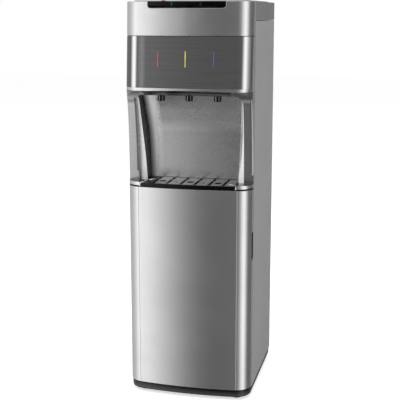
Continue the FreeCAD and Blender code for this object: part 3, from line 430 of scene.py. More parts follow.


# Inside of the dispensing niche, with painted shade on its steep side walls and painted light and highlights;
# pairs as for the silver
niche = {
    "greys": [                  # height and grey of the back wall, painted light and shade that even out what it reflects
        (0.575, 0.88), (0.590, 0.74), (0.613, 0.635), (0.681, 0.545), (0.697, 0.52), (0.711, 0.70),
        (0.725, 0.87), (0.767, 0.90),
    ],
    "blue": 1.012,
    "drift": (7.0, 2.0),
    "pale": (0.9, 0.9, 0.9),
    "paleShare": 0.06,
    # painted shade on the steep side walls and in the left corner
    "steep": (0.047, 0.047, 0.049),
    "steepLeft": (0.58, 0.86),
    "leafHeights": (0.590, 0.700),      # the painted highlight leaf inside the right pillar, pale and matt
    "leafLeast": (0.50, 0.69),          # the least that it faces left, at those heights
    "leafSoft": 0.05,
    "leafLeft": (0.95, 0.95, 0.96),     # the painted highlight inside the left pillar
    "leafLeftFacing": (0.25, 0.40),
    "cornerHigh": (0.790, -0.1303),     # height and x of the left corner's painted shade, at two places
    "cornerLow": (0.660, -0.1262),
    "cornerWidth": 0.017,
    "cornerFacing": -0.35,
    "matt": (0.93, 0.93, 0.94),         # a pale matt zone of the back wall beside the left wall, painted light
    "mattFrom": (-0.088, -0.106),
    "mattFacing": (-0.35, -0.80),
    "smudges": (26.0, 0.255, 0.29),
    "metallic": 0.96,
    "ripples": (900.0, 0.0000004, 0.1),
}


def nicheLook(name, n):
    look = Look(name)
    x, z = look.axis(0), look.axis(2)
    right, back = look.facing(0), look.facing(1)
    # Painted highlight on the leaf inside the right pillar and painted light on the zone beside the left
    # wall, both matt
    leaf = (right * -1.0 - look.ranged(z, *n["leafHeights"], *n["leafLeast"])).rising(0.0, n["leafSoft"])
    matt = (x.rising(*n["mattFrom"]) * back.rising(*n["mattFacing"])).atLeast(leaf)
    pale = look.varied(look.noise(*n["drift"]), 0.0, n["paleShare"])
    # Painted light and shade on the back wall, by height
    wall = look.colours(z, *[(height, (grey, grey, grey * n["blue"])) for height, grey in n["greys"]])
    colour = look.mixed(matt, look.mixed(pale, wall, n["pale"]), n["matt"])
    # Painted shade in the left corner
    (highZ, highX), (lowZ, lowX) = n["cornerHigh"], n["cornerLow"]
    inward = x - (z - highZ) * ((lowX - highX) / (lowZ - highZ)) - highX
    corner = inward.falling(0.0, n["cornerWidth"]) * back.under(n["cornerFacing"])
    colour = look.mixed(corner, colour, n["steep"])
    # Painted highlight inside the left pillar
    colour = look.mixed(right.rising(*n["leafLeftFacing"]), colour, n["leafLeft"])
    # Painted shade on the steep walls
    colour = look.mixed(right.rising(*n["steepLeft"]), colour, n["steep"])
    return look.surface(colour=colour, roughness=look.smudged(*n["smudges"]),
                        metallic=(1.0 - matt) * n["metallic"],
                        normal=look.rippled(*n["ripples"]))


# The grille: a light top with painted highlights on the rims of its holes, and painted shade, near black, on
# the walls in its holes and in the channels between its plates
grilleTop = {
    "colour": (0.49, 0.49, 0.495),
    "wall": (0.005, 0.005, 0.005),
    "rim": (0.95, 0.95, 0.95),
    "grime": (0.2, 0.2, 0.2),
    "clean": (0.85, 1.05),      # of the colour, wandering
    "drift": (60.0, 3.0),
    "pitch": 0.03675,           # between one dark channel and the next
    "channel": (0.0044, 0.0048),    # half of a channel's width
    "leftEnd": -0.096,
    "upward": (0.45, 0.75),
    "rimFacing": (0.80, 0.97),
    "roughness": 0.3,
    "metallic": 0.9,
    "ripples": (700.0, 0.000004),
}


def grilleLook(name, g):
    look = Look(name)
    x, up = look.axis(0), look.facing(2)
    fromChannel = abs((x + g["pitch"] * 20).wrapped(g["pitch"]) - g["pitch"] / 2)
    plate = fromChannel.rising(*g["channel"]) * x.over(g["leftEnd"])
    clean = look.varied(look.noise(*g["drift"]), *g["clean"]).clipped()
    # Painted highlight on the rims and painted shade on the walls and in the channels
    top = look.mixed(1.0 - clean, look.mixed(up.falling(*g["rimFacing"]), g["colour"], g["rim"]), g["grime"])
    colour = look.mixed(up.rising(*g["upward"]) * plate, g["wall"], top)
    return look.surface(colour=colour, roughness=g["roughness"], metallic=g["metallic"],
                        normal=look.rippled(*g["ripples"]))


def toned(colour, times, plus=0.0):
    # The colour made paler or darker
    return tuple(min(1.0, part * times + plus) for part in colour)


# Glossy black that mirrors the light in sharp streaks
gloss = {"drift": (40.0, 3.0), "paler": 1.25, "ripples": (300.0, 0.000003), "metallic": 0.9}
pocketBlack = {"colour": (0.036, 0.036, 0.038), "smudges": (90.0, 0.14, 0.20)}
keyBlack = {
    "colour": (0.011, 0.011, 0.0115),
    "smudges": (90.0, 0.13, 0.19),
    "edges": (0.03675, 0.0010, 0.0026),     # painted highlight beside the gaps: x, full and end of half the width
    "edgeColour": (0.09, 0.09, 0.09),
}


def glossLook(name, g):
    look = Look(name)
    colour = look.clouded(*gloss["drift"], g["colour"], toned(g["colour"], gloss["paler"]))
    if "edges" in g:
        # Painted highlight on the key edges beside the gaps
        middle, full, end = g["edges"]
        edge = abs(abs(look.axis(0)) - middle).falling(full, end)
        colour = look.mixed(edge, colour, g["edgeColour"])
    return look.surface(colour=colour, roughness=look.smudged(*g["smudges"]), metallic=gloss["metallic"],
                        normal=look.rippled(*gloss["ripples"]))


# The drip tray: a gloss black front and a dull black basin
trayBlack = {
    "colour": (0.019, 0.019, 0.020),
    "basin": (0.003, 0.003, 0.003),
    "frontFacing": -0.5,
    "smudges": (90.0, 0.07, 0.13),
    "metallic": 0.9,
    "specular": 0.25,
    "ripples": (300.0, 0.000002),
}


def trayLook(name, t):
    look = Look(name)
    basin = look.facing(1).over(t["frontFacing"])
    return look.surface(colour=look.mixed(basin, t["colour"], t["basin"]), specular=t["specular"],
                        roughness=look.smudged(*t["smudges"]), metallic=(1.0 - basin) * t["metallic"],
                        normal=look.rippled(*t["ripples"]))


# The plinth, black under the door as painted shade and a little lighter towards its lower edge
plinth = {
    "dark": (0.002, 0.002, 0.002),
    "low": (0.045, 0.045, 0.046),
    "heights": (0.0270, 0.0150),
    "waver": 0.002,
    "drift": (60.0, 3.0),
    "smudges": (90.0, 0.20, 0.27),
    "specular": 0.4,
    "ripples": (700.0, 0.000006),
}


def plinthLook(name, p):
    look = Look(name)
    height = look.axis(2) + look.noise(*p["drift"]) * p["waver"]
    # Painted shade: black at the top, under the door
    return look.surface(colour=look.mixed(height.rising(*p["heights"]), p["dark"], p["low"]),
                        roughness=look.smudged(*p["smudges"]), specular=p["specular"],
                        normal=look.rippled(*p["ripples"]))


# The taps, in black with two upright stripes of painted highlight: how far each faces right, and its strength
tapBlack = {
    "dull": (0.006, 0.006, 0.006),
    "bright": (0.15, 0.15, 0.155),
    "stripes": [(-0.27, 1.0), (0.53, 0.55)],
    "stripeWidth": (0.05, 0.15),
    "frontFacing": -0.3,
    "smudges": (90.0, 0.05, 0.09),
    "metallic": 0.95,
    "fullMetal": 0.3,           # painted highlight from which a stripe is all metal
    "specular": 0.08,
    "ripples": (300.0, 0.000002),
}


def tapLook(name, t):
    look = Look(name)
    # Painted highlight stripes, placed by facing
    shine = 0.0
    for middle, strength in t["stripes"]:
        shine = look.ranged(abs(look.facing(0) - middle), *t["stripeWidth"], strength, 0.0) + shine
    shine = shine * look.facing(1).under(t["frontFacing"])
    return look.surface(colour=look.mixed(shine, t["dull"], t["bright"]), specular=t["specular"],
                        roughness=look.smudged(*t["smudges"]),
                        metallic=look.ranged(shine, 0.0, t["fullMetal"], 0.0, t["metallic"]),
                        normal=look.rippled(*t["ripples"]))


# Painted sheet: a colour that clouds a little and a texture in the paint
sheet = {"drift": (5.0, 2.0), "darker": 0.92, "bump": 0.5}


def sheetLook(name, colour, texture, depth, roughness, metallic):
    look = Look(name)
    grain = look.noise(texture, 4.0)
    cloud = ((look.noise(*sheet["drift"]) + grain) * 0.5).rising(*narrowSpan)
    return look.surface(colour=look.mixed(cloud, toned(colour, sheet["darker"]), colour),
                        roughness=look.varied(grain, *roughness), metallic=metallic,
                        normal=look.bump(grain, sheet["bump"], depth))


# Moulded plastic or rubber with a fine leathery grain
moulded = {"drift": (9.0, 3.0), "lighter": (1.12, 0.002), "smudges": 60.0, "spread": (-0.03, 0.04),
           "bump": 0.6}


def mouldedLook(name, colour, roughness, texture=1500.0, depth=0.00004, specular=0.5):
    look = Look(name)
    spread = [roughness + change for change in moulded["spread"]]
    return look.surface(colour=look.clouded(*moulded["drift"], colour, toned(colour, *moulded["lighter"])),
                        roughness=look.smudged(moulded["smudges"], *spread), specular=specular,
                        normal=look.bump(look.cells(texture, "SMOOTH_F1"), moulded["bump"], depth))


# Coloured lens that glows faintly
lens = {"drift": (90.0, 3.0), "paler": (1.3, 0.02), "ripples": (900.0, 0.00002),
        "surface": {"roughness": 0.25, "coat": 0.3, "coatRoughness": 0.05}}


def markLook(name, colour, glow):
    look = Look(name)
    cloud = look.noise(*lens["drift"]).rising(*narrowSpan)
    shade = look.mixed(cloud, colour, toned(colour, *lens["paler"]))
    return look.surface(colour=shade, glow=shade, glowStrength=glow, normal=look.rippled(*lens["ripples"]),
                        **lens["surface"])


zinc = {"dark": (0.42, 0.43, 0.45), "light": (0.62, 0.63, 0.65), "spangles": 95.0, "spangleShare": 0.7,
        "drift": (4.0, 3.0), "roughness": (0.32, 0.50), "metallic": 0.85, "dents": (320.0, 3.0),
        "bump": (0.4, 0.00004)}


def zincLook(name, z):
    look = Look(name)
    spangle = look.cells(z["spangles"], out="Color")
    tone = look.add("ShaderNodeSeparateColor", inputs={0: spangle}, out=1)
    cloud = tone * z["spangleShare"] + look.noise(*z["drift"]) * (1.0 - z["spangleShare"])
    return look.surface(colour=look.mixed(cloud, z["dark"], z["light"]),
                        roughness=look.ranged(tone, 0.0, 1.0, *z["roughness"]), metallic=z["metallic"],
                        normal=look.bump(look.noise(*z["dents"]), *z["bump"]))


# Bare metal with fine upright draw marks
wire = {"stretch": (900.0, 900.0, 60.0), "darker": 0.75, "spread": (-0.06, 0.08), "bump": (0.3, 0.00003)}


def wireLook(name, colour, roughness):
    look = Look(name)
    drawn = look.noise(1.0, 4.0, look.stretched(wire["stretch"]))
    spread = [roughness + change for change in wire["spread"]]
    return look.surface(colour=look.mixed(drawn.rising(*noiseSpan), toned(colour, wire["darker"]), colour),
                        roughness=look.varied(drawn, *spread), metallic=1.0,
                        normal=look.bump(drawn, *wire["bump"]))


foam = {"dark": (0.72, 0.66, 0.48), "light": (0.84, 0.79, 0.62), "drift": (14.0, 4.0), "roughness": 0.9,
        "bubbles": 420.0, "bump": (0.7, 0.0008)}


def foamLook(name, f):
    look = Look(name)
    return look.surface(colour=look.clouded(*f["drift"], f["dark"], f["light"]), roughness=f["roughness"],
                        normal=look.bump(look.cells(f["bubbles"], "SMOOTH_F1"), *f["bump"]))


hose = {"dark": (0.78, 0.79, 0.80), "light": (0.90, 0.91, 0.92), "drift": (30.0, 3.0),
        "ripples": (500.0, 0.00003),
        "surface": {"roughness": 0.35, "subsurface": 0.3, "subsurfaceScale": 0.003}}


def hoseLook(name, h):
    look = Look(name)
    return look.surface(colour=look.clouded(*h["drift"], h["dark"], h["light"]),
                        normal=look.rippled(*h["ripples"]), **h["surface"])


def camelName(nodeName):
    first, *rest = nodeName.split("_")
    return first + "".join(word.capitalize() for word in rest)


finishes = {
    "silver_moulding": silverLook("silverMoulding", silver),
    "door_sheet": silverLook("doorSheet", {**silver, "orangePeel": 160.0}),
    "niche_silver": nicheLook("nicheSilver", niche),
    "side_sheet": sheetLook("sideSheet", (0.355, 0.355, 0.36), texture=700.0, depth=0.00003,
                            roughness=(0.45, 0.56), metallic=0.15),
    "dark_brushed_steel": brushedLook("darkBrushedSteel", brushed),
    "dark_moulding": mouldedLook("darkMoulding", (0.006, 0.006, 0.0065), roughness=0.34),
    "grille_grey": grilleLook("grilleGrey", grilleTop),
    "red_mark": markLook("redMark", (0.40, 0.035, 0.050), glow=0.05),
    "yellow_mark": markLook("yellowMark", (0.50, 0.46, 0.06), glow=0.08),
    "blue_mark": markLook("blueMark", (0.06, 0.08, 0.27), glow=0.06),
    "pale_liner": mouldedLook("paleLiner", (0.62, 0.62, 0.63), 0.4, texture=900.0, depth=0.00003),
    "galvanised_sheet": zincLook("galvanisedSheet", zinc),
    "steel_fasteners": wireLook("steelFasteners", (0.62, 0.62, 0.63), roughness=0.24),
    "spring_steel": wireLook("springSteel", (0.55, 0.55, 0.56), roughness=0.3),
    "tank_steel": wireLook("tankSteel", (0.66, 0.66, 0.66), roughness=0.3),
    "foam": foamLook("foam", foam),
    "black_enamel": sheetLook("blackEnamel", (0.018, 0.018, 0.019), texture=500.0, depth=0.00003,
                              roughness=(0.23, 0.34), metallic=0.0),
    "black_rubber": mouldedLook("blackRubber", (0.016, 0.016, 0.016), 0.7, texture=900.0, depth=0.00008),
    "copper_pipe": wireLook("copperPipe", (0.78, 0.36, 0.20), roughness=0.28),
    "hose": hoseLook("hose", hose),
    "white_fitting": mouldedLook("whiteFitting", (0.78, 0.78, 0.78), 0.4, texture=700.0, depth=0.00003),
}
# Nodes whose finish differs from the rest of their slot
ownFinish = {
    "top_cover": sheetLook("coverGrey", (0.225, 0.225, 0.23), texture=700.0, depth=0.00004,
                           roughness=(0.45, 0.56), metallic=0.2),
    "base_plate": plinthLook("plinthBlack", plinth),
    "drip_tray": trayLook("trayBlack", trayBlack),
    "child_lock": mouldedLook("lockRed", (0.23, 0.006, 0.016), 0.5, specular=0.15),
    "button_pocket": glossLook("pocketBlack", pocketBlack),
}
rodBlack = {"colour": (0.004, 0.004, 0.004), "roughness": 0.5, "specular": 0.1}
waters = ("hot", "ambient", "cold")
for water in waters:
    ownFinish[water + "_tap"] = tapLook(water + "TapBlack", tapBlack)
    ownFinish[water + "_push_rod"] = mouldedLook(water + "PushRodBlack", **rodBlack)
    ownFinish[water + "_button"] = glossLook(water + "ButtonBlack", keyBlack)
for nodeName, node in cadNodes.items():
    node.data.materials.clear()
    node.data.materials.append(ownFinish.get(nodeName) or finishes[slotOf[nodeName]])
print("finishes on the frame's nodes")


# Nodes shown as copies with rounded edges: the radius in metres and the number of steps in it
roundedEdges = {
    "head_shell": (0.0012, 3),
    "top_cover": (0.0014, 3),
    "front_frame": (0.0009, 2),
    "control_panel": (0.0004, 2),
    "door_skin": (0.0005, 2),
    "door_trim_left": (0.0004, 2),
    "door_trim_right": (0.0009, 3),
    "door_liner": (0.0020, 3),
    "left_side_panel right_side_panel": (0.0005, 2),
    "base_plate": (0.0015, 3),
    "rubber_feet": (0.0012, 2),
    "button_pocket": (0.0005, 2),
    "hot_button ambient_button cold_button": (0.0013, 3),
    "child_lock": (0.0005, 2),
    "drip_tray drip_grille": (0.0004, 2),
    "niche_liner hot_tap ambient_tap cold_tap": (0.0006, 2),
    "bay_liner": (0.0009, 2),
    "rear_panel": (0.0003, 1),
    "power_inlet switch_panel": (0.0005, 2),
    "hot_rocker cold_rocker": (0.0006, 2),
    "drain_outlet drain_cap": (0.0005, 2),
    "bottle_probe": (0.0010, 2),
    "probe_holder": (0.0008, 2),
    "condenser": (0.0, 0),
}
angles = {"joined": 0.3, "rounded": 28, "ownRounded": 40, "sharp": 40}  # degrees between faces
joinWithin = {"copies": 0.00001, "own": 0.000005}


def finishedMesh(piece, name):
    # The piece with its modifiers applied, as a plain mesh
    bpy.context.view_layer.update()
    depsgraph = bpy.context.evaluated_depsgraph_get()
    mesh = bpy.data.meshes.new_from_object(piece.evaluated_get(depsgraph), depsgraph=depsgraph)
    mesh.name = name
    piece.modifiers.clear()
    piece.data = mesh
    return piece


def shapedPiece(name, shape, mesh, radius, steps, angle):
    # The shape as a smooth object whose edges over the angle are rounded
    shape.to_mesh(mesh)
    shape.free()
    for polygon in mesh.polygons:
        polygon.use_smooth = True
    piece = placed(name, mesh)
    if radius:
        bevel = piece.modifiers.new("roundedEdges", "BEVEL")
        bevel.width = radius
        bevel.segments = steps
        bevel.limit_method = "ANGLE"
        bevel.angle_limit = math.radians(angle)
        finishedMesh(piece, name)
    piece.data.set_sharp_from_angle(angle=math.radians(angles["sharp"]))
    return piece


def roundedCopy(nodeName, radius, steps):
    mesh = cadNodes[nodeName].data.copy()
    shape = bmesh.new()
    shape.from_mesh(mesh)
    flat = math.radians(angles["joined"])
    bmesh.ops.remove_doubles(shape, verts=shape.verts, dist=joinWithin["copies"])
    bmesh.ops.dissolve_limit(shape, angle_limit=flat, verts=shape.verts, edges=shape.edges)
    piece = shapedPiece(camelName(nodeName), shape, mesh, radius, steps, angles["rounded"])
    weighted = piece.modifiers.new("evenShading", "WEIGHTED_NORMAL")
    weighted.keep_sharp = True
    weighted.weight = 90
    finishedMesh(piece, camelName(nodeName))
    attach(piece, bodyOf[nodeName])
    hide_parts(nodeName)
    return piece


for nodeNames, (radius, steps) in roundedEdges.items():
    for nodeName in nodeNames.split():
        roundedCopy(nodeName, radius, steps)
print("edges rounded")


# The springs under the keys, as copies with meshes of their own
for tapName in waters:
    spring = roundedCopy(tapName + "_spring", 0.0, 0)
    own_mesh(spring)


# The plan line of the bowed front with its rounded corners, inside which the seal is set
frontLine = {"bow": 1.060, "corner": 0.043, "half": 0.165, "steps": 28}


def lineAt(inset, x):
    # Depth of the front line moved inwards, at x
    bow = frontLine["bow"] - inset
    radius = frontLine["corner"] - inset
    cornerX = frontLine["half"] - frontLine["corner"]
    cornerDepth = frontLine["bow"] - math.sqrt((bow - radius) ** 2 - cornerX ** 2)
    touchX = bow * cornerX / (bow - radius)
    if abs(x) <= touchX:
        return frontLine["bow"] - math.sqrt(bow ** 2 - x ** 2)
    return cornerDepth - math.sqrt(max(0.0, radius ** 2 - (abs(x) - cornerX) ** 2))


def roundFront(inset, back):
    # Points from the left side round the front to the right side, ending at a depth of back
    side = frontLine["half"] - inset
    steps = frontLine["steps"]
    shares = [math.sin(math.pi / 2 * (i / steps - 1)) for i in range(2 * steps + 1)]
    places = [(side * share, lineAt(inset, side * share)) for share in shares]
    return [(-side, back)] + places + [(side, back)]


def madePiece(name, shape, body, slotName, material=None, bevel=0.0):
    # A bmesh as a finished piece that rides on a body
    bmesh.ops.remove_doubles(shape, verts=shape.verts, dist=joinWithin["own"])
    bmesh.ops.recalc_face_normals(shape, faces=shape.faces)
    mesh = bpy.data.meshes.new(name)
    mesh.materials.append(material or finishes[slotName])
    piece = shapedPiece(name, shape, mesh, bevel, 1, angles["ownRounded"])
    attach(piece, body)
    return piece


def strung(shape, rings, closed=False):
    # Faces between rings of points that follow one another, with ends unless the last meets the first
    rows = [[shape.verts.new(place) for place in ring] for ring in rings]
    pairs = list(zip(rows, rows[1:])) + ([(rows[-1], rows[0])] if closed else [])
    count = len(rows[0])
    for one, two in pairs:
        for i in range(count):
            j = (i + 1) % count
            shape.faces.new((one[i], one[j], two[j], two[i]))
    if not closed:
        shape.faces.new(rows[0])
        shape.faces.new(list(reversed(rows[-1])))


# Black seal that hangs under the shelf, just above the door, which also darkens the gap there as painted
# shade
doorTopSeal = {"inset": 0.0007, "thick": 0.0020, "low": 0.56470, "high": 0.56705, "back": 0.0500}
sealBlack = {"colour": (0.003, 0.003, 0.003), "roughness": 0.6, "texture": 900.0, "specular": 0.2}


def makeDoorTopSeal(d):
    outer = roundFront(d["inset"], d["back"])
    inner = roundFront(d["inset"] + d["thick"], d["back"])
    low, high = d["low"], d["high"]
    rings = [[at(x0, d0, low), at(x1, d1, low), at(x1, d1, high), at(x0, d0, high)]
             for (x0, d0), (x1, d1) in zip(outer, inner)]
    shape = bmesh.new()
    strung(shape, rings)
    madePiece("doorTopSeal", shape, "cabinet", "black_rubber", mouldedLook("sealBlack", **sealBlack))


# Polished trims at the two ends of the tray, up its front and along its rim: x, depth and z of the line
trayTrims = {
    "trayTrimLeft": {"radius": 0.0018, "line": [
        (-0.1246, 0.0064, 0.5664), (-0.1246, 0.0063, 0.5720), (-0.1245, 0.0068, 0.5758),
        (-0.1210, 0.0105, 0.5768), (-0.1160, 0.0160, 0.5768), (-0.1150, 0.0300, 0.5768),
        (-0.1140, 0.0440, 0.5768), (-0.1080, 0.0530, 0.5768), (-0.0980, 0.0560, 0.5768),
    ]},
    "trayTrimRight": {"radius": 0.0009, "line": [
        (0.1262, 0.0072, 0.5676), (0.1262, 0.0070, 0.5720), (0.1260, 0.0074, 0.5756),
        (0.1245, 0.0105, 0.5766), (0.1225, 0.0200, 0.5766), (0.1150, 0.0265, 0.5766),
        (0.1060, 0.0280, 0.5766),
    ]},
}
trimShape = {"steps": 6, "sides": 8, "lean": Vector((0.3, 0.0, 1.0))}


def splinePoints(line):
    curve = bpy.data.curves.new("trimLine", "CURVE")
    curve.dimensions = "3D"
    curve.resolution_u = trimShape["steps"]
    spline = curve.splines.new("NURBS")
    spline.points.add(len(line) - 1)
    for point, (x, depth, z) in zip(spline.points, line):
        point.co = (*at(x, depth, z), 1.0)
    spline.order_u = 3
    spline.use_endpoint_u = True
    holder = bpy.data.objects.new("trimLine", curve)
    mesh = bpy.data.meshes.new_from_object(holder)
    places = [vertex.co.copy() for vertex in mesh.vertices]
    bpy.data.objects.remove(holder)
    return places


def makeTrayTrim(name, t):
    points = splinePoints(t["line"])
    turns = [math.pi * 2 * j / trimShape["sides"] for j in range(trimShape["sides"])]
    shape = bmesh.new()
    rings = []
    for i, place in enumerate(points):
        ahead = (points[min(i + 1, len(points) - 1)] - points[max(i - 1, 0)]).normalized()
        across = ahead.cross(trimShape["lean"]).normalized()
        upward = ahead.cross(across)
        rings.append([place + (across * math.cos(a) + upward * math.sin(a)) * t["radius"] for a in turns])
    strung(shape, rings)
    madePiece(name, shape, "drip_tray", "steel_fasteners", clipChrome)


# Black lining of the finger grip in the door's right edge, a dark sheet that darkens the grip as painted
# shade
gripLining = {"x": (0.1532, 0.1649), "depth": (0.0402, 0.0478), "z": (0.3803, 0.4507), "wall": 0.0006,
              "rounding": 0.0001}


def makeGripShadeLining(g):
    (x0, x1), (d0, d1), (z0, z1) = g["x"], g["depth"], g["z"]
    wall = g["wall"]

    def ring(x, inset):
        return [at(x, d0 + inset, z0 + inset), at(x, d1 - inset, z0 + inset), at(x, d1 - inset, z1 - inset),
                at(x, d0 + inset, z1 - inset)]

    shape = bmesh.new()
    strung(shape, [ring(x0, 0.0), ring(x1, 0.0), ring(x1, wall), ring(x0 + wall, wall)])
    madePiece("gripLining", shape, "door", "dark_moulding", bevel=g["rounding"])


# Soft gasket round the door's inner face
doorGasket = {"x": (-0.1460, 0.1500), "z": (0.0400, 0.5540), "width": 0.0090, "depth": (0.0521, 0.0549),
              "corner": 0.010, "cornerSteps": 6, "sides": 10}


def makeDoorGasket(g):
    (x0, x1), (z0, z1), (front, back) = g["x"], g["z"], g["depth"]
    half = g["width"] / 2
    lips = [math.pi * 2 * j / g["sides"] for j in range(g["sides"])]
    shape = bmesh.new()
    rings = []
    for centreX, centreZ, start in ((x1, z1, 0), (x0, z1, 90), (x0, z0, 180), (x1, z0, 270)):
        inX = centreX - math.copysign(g["corner"], centreX - (x0 + x1) / 2)
        inZ = centreZ - math.copysign(g["corner"], centreZ - (z0 + z1) / 2)
        for i in range(g["cornerSteps"] + 1):
            turn = math.radians(start + 90 * i / g["cornerSteps"])
            along = Vector((math.cos(turn), 0, math.sin(turn)))
            ring = []
            for lip in lips:
                deep = (front + back) / 2 + math.sin(lip) * (back - front) / 2
                ring.append(at(inX, deep, inZ) + along * (g["corner"] - half + math.cos(lip) * half))
            rings.append(ring)
    strung(shape, rings, closed=True)
    madePiece("doorGasket", shape, "door", "black_rubber")


# Case screws with a cross recess, repeated by geometry nodes
caseScrews = {"x": 0.158, "lowest": 0.028, "span": 0.959, "shares": (0.04, 0.28, 0.52, 0.76, 0.96),
              "headX": 0.140, "headZ": 1.014, "depth": 0.349, "sides": 18, "domeTop": 0.55, "domeFoot": 0.97}
screwSizes = {"head radius": 0.0035, "rim": 0.0009, "dome": 0.0009, "recess long": 0.0040,
              "recess wide": 0.0009, "recess deep": 0.0012}


def makeCaseScrews(c):
    build = Build("caseScrews", screwSizes)
    radius, rim, dome, long, wide, deep = build.values
    quarter = math.pi / 2
    disc = build.moved(build.rod(radius, rim, c["sides"]), turn=(quarter, 0, 0), by=build.along(y=rim * 0.5))
    cap = build.add("GeometryNodeMeshCone", inputs={
        "Vertices": c["sides"], "Radius Top": radius * c["domeTop"], "Radius Bottom": radius * c["domeFoot"],
        "Depth": dome,
    })
    cap = build.moved(cap, turn=(-quarter, 0, 0), by=build.along(y=rim))
    bars = [build.moved(build.block(long, deep * 2, wide), turn=(0, turn, 0), by=build.along(y=rim + dome))
            for turn in (0.0, quarter)]
    head = build.cut(build.joined(disc, cap), build.joined(*bars))
    places = [at(side * c["x"], c["depth"], c["lowest"] + share * c["span"])
              for side in (-1, 1) for share in c["shares"]]
    places += [at(side * c["headX"], c["depth"], c["headZ"]) for side in (-1, 1)]
    piece = build.made("caseScrews", places, head, finishes["steel_fasteners"])
    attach(piece, "cabinet")
    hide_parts("case_screws")


# Hoods over the air slots in the rear panel, repeated by geometry nodes
louvres = {"rows": 6, "top": 0.750, "pitch": 0.014, "depth": 0.349, "sides": 28}
louvreSizes = {"hood length": 0.1256, "hood height": 0.0056, "wall": 0.0006, "reach": 0.0029}


def makeLouvres(c):
    build = Build("louvres", louvreSizes)
    length, height, wall, reach = build.values
    shells = []
    for walls in (0.0, 1.0):
        radius = height - wall * walls
        flat = build.along(1.0, (reach - wall * walls) / radius, 1.0)
        shell = build.rod(radius, length - wall * (2 * walls), c["sides"])
        shells.append(build.moved(build.moved(shell, turn=(0, math.pi / 2, 0)), scale=flat))
    block = build.block(length * 2, length * 2, length * 2)
    under = build.moved(block, by=build.along(z=length * -1.0))
    inside = build.moved(block, by=build.along(y=length * -1.0))
    hood = build.cut(shells[0], build.joined(shells[1], under, inside))
    places = [at(0.0, c["depth"], c["top"] - c["pitch"] * row) for row in range(c["rows"])]
    piece = build.made("louvres", places, hood, finishes["galvanised_sheet"])
    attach(piece, "cabinet")


# The on and off marks on the two rear rockers; a place is the depth, the height from the switch's middle
# and the tilt backward in degrees
rockerMarks = {
    "x": 0.137, "heights": {"hot_rocker": 0.9135, "cold_rocker": 0.8885}, "sunk": 0.0002, "proud": 0.0001,
    "bar": {"place": (0.34988, 0.00571, 1.0), "half": (0.0004, 0.0019)},
    "ring": {"place": (0.35115, -0.00461, 13.0), "radii": (0.0012, 0.0019), "steps": 24},
}


def makeRockerMarks(r):
    right = Vector((1, 0, 0))
    for nodeName, middle in r["heights"].items():
        shape = bmesh.new()
        for kind in ("bar", "ring"):
            depth, height, tilt = r[kind]["place"]
            turn = math.radians(tilt)
            back = Vector((0, math.cos(turn), math.sin(turn)))
            up = Vector((0, -math.sin(turn), math.cos(turn)))
            place = at(r["x"], depth, middle + height)
            low, high = -back * r["sunk"], back * r["proud"]
            if kind == "bar":
                wide, tall = r["bar"]["half"]
                lines = [(place + up * end, right, (-wide, wide)) for end in (-tall, tall)]
            else:
                turns = [math.pi * 2 * i / r["ring"]["steps"] for i in range(r["ring"]["steps"])]
                lines = [(place, right * math.cos(a) + up * math.sin(a), r["ring"]["radii"]) for a in turns]
            rings = []
            for start, out, (near, far) in lines:
                corners = ((near, low), (far, low), (far, high), (near, high))
                rings.append([start + out * reach + level for reach, level in corners])
            strung(shape, rings, closed=kind == "ring")
        madePiece(camelName(nodeName) + "Marks", shape, bodyOf[nodeName], "white_fitting")


clipChrome = wireLook("clipChrome", (0.95, 0.95, 0.95), roughness=0.12)
makeDoorTopSeal(doorTopSeal)
for trimName, trayTrim in trayTrims.items():
    makeTrayTrim(trimName, trayTrim)
makeGripShadeLining(gripLining)
makeDoorGasket(doorGasket)
makeCaseScrews(caseScrews)
makeLouvres(louvres)
makeRockerMarks(rockerMarks)
print("seal, trims, lining, gasket, screws, louvres and switch marks made")


# Light seen in the metal, as radiance at degrees round the object from the front towards the right. Above and
# below it turns to the top and low light, between two heights given as shares of the radius.
reflections = {
    "radius": 6.0,
    "segments": (96, 48),
    "topLight": 0.9,
    "topFrom": (0.55, 0.90),
    "lowLight": 0.10,
    "lowFrom": (-0.44, -0.66),
    "round": [
        (-180, 0.32), (-160, 0.50), (-125, 0.58), (-90, 0.66), (-66, 1.00), (-48, 1.42), (-31, 1.52),
        (-24, 0.85), (-19, 0.50), (-14, 0.26), (-10, 0.12), (-6, 0.08), (0, 0.105), (6, 0.165), (15, 0.185),
        (30, 0.34), (45, 1.10), (62, 1.60), (76, 0.90), (92, 0.16), (120, 0.14), (150, 0.17), (168, 0.24),
        (180, 0.32),
    ],
    "strength": 2.0,  # the colours are radiance divided by this
}
background = {"plain": 0.50, "seen": 1.0}
ground = {
    "colour": (0.80, 0.80, 0.80),
    "lighter": 0.02,
    "drift": (1.5, 2.0),
    "roughness": 0.7,
    "seen": 0.575,
    "half": 12.0,
    "z": -0.0002,
}
black = (0.0, 0.0, 0.0)


def makeReflections(r):
    def glowing(light):
        return (light / r["strength"],) * 3

    look = Look("studioReflections")
    turn = look.axis("X").angleTo(look.axis("Y") * -1.0) * (0.5 / math.pi) + 0.5
    side = look.colours(turn, *[(degrees / 360 + 0.5, glowing(light)) for degrees, light in r["round"]])
    height = look.axis("Z")
    top, low = [height.rising(*[share * r["radius"] for share in r[zone]]) for zone in ("topFrom", "lowFrom")]
    glow = look.mixed(low, look.mixed(top, side, glowing(r["topLight"])), glowing(r["lowLight"]))
    look.surface(colour=black, roughness=1.0, specular=0.0, glow=glow, glowStrength=r["strength"])
    shape = bmesh.new()
    around, upward = r["segments"]
    bmesh.ops.create_uvsphere(shape, u_segments=around, v_segments=upward, radius=r["radius"])
    mesh = bpy.data.meshes.new("studioReflections")
    shape.to_mesh(mesh)
    shape.free()
    mesh.materials.append(look.material)
    shell = placed("studioReflections", mesh)
    for ray in ("camera", "diffuse", "shadow", "transmission", "volume_scatter"):
        setattr(shell, "visible_" + ray, False)


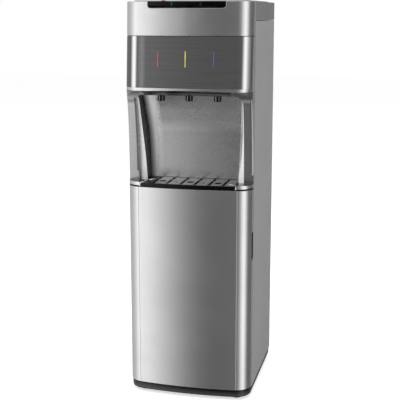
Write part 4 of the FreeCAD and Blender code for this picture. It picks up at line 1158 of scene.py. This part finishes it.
def seenRays(graph):
    seen = graph.add("ShaderNodeLightPath", out="Is Camera Ray")
    for kind in ("Is Glossy Ray", "Is Transmission Ray"):
        seen = seen.atLeast(graph.add("ShaderNodeLightPath", out=kind))
    return seen


def makeWorld(b):
    world = bpy.data.worlds.new("studioWorld")
    bpy.context.scene.world = world
    world.use_nodes = True
    graph = Graph(world.node_tree)
    strength = graph.ranged(seenRays(graph), 0.0, 1.0, b["plain"], b["seen"])
    light = graph.add("ShaderNodeBackground", inputs={"Color": (1.0, 1.0, 1.0), "Strength": strength})
    output = graph.tree.nodes.new("ShaderNodeOutputWorld")
    graph.tree.links.new(light.socket, output.inputs["Surface"])


def makeFloor(g):
    look = Look("studioFloor")
    colour = look.mixed(look.noise(*g["drift"]), g["colour"], toned(g["colour"], 1.0, g["lighter"]))
    glow = look.mixed(seenRays(look), black, (g["seen"],) * 3)
    look.surface(colour=colour, roughness=g["roughness"], specular=0.0, glow=glow, glowStrength=1.0)
    half, z = g["half"], g["z"]
    mesh = bpy.data.meshes.new("studioFloor")
    corners = [(-half, -half, z), (half, -half, z), (half, half, z), (-half, half, z)]
    mesh.from_pydata(corners, [], [(0, 1, 2, 3)])
    mesh.materials.append(look.material)
    floor = placed("studioFloor", mesh)
    floor.visible_glossy = False


# Soft lamps, all turned to the middle of the object
lampTarget = (0.0, 0.0, 0.55)
lamps = {
    "leftSoftbox": {"place": (-2.4, -2.6, 1.9), "size": (1.6, 2.2), "power": 62.0},
    "rightSoftbox": {"place": (2.6, -0.8, 1.3), "size": (1.2, 2.2), "power": 26.0},
    "overhead": {"place": (-0.2, -0.4, 3.0), "size": (2.4, 2.0), "power": 40.0},
}


def makeLamp(name, place, size, power):
    light = bpy.data.lights.new(name, "AREA")
    light.shape = "RECTANGLE"
    light.size, light.size_y = size
    light.energy = power
    holder = placed(name, light)
    holder.location = place
    direction = Vector(lampTarget) - Vector(place)
    holder.rotation_euler = direction.to_track_quat("-Z", "Y").to_euler()
    holder.visible_glossy = False


makeWorld(background)
makeFloor(ground)
makeReflections(reflections)
for lampName, lamp in lamps.items():
    makeLamp(lampName, **lamp)
bpy.context.scene.view_settings.view_transform = "Standard"
print("studio lit")
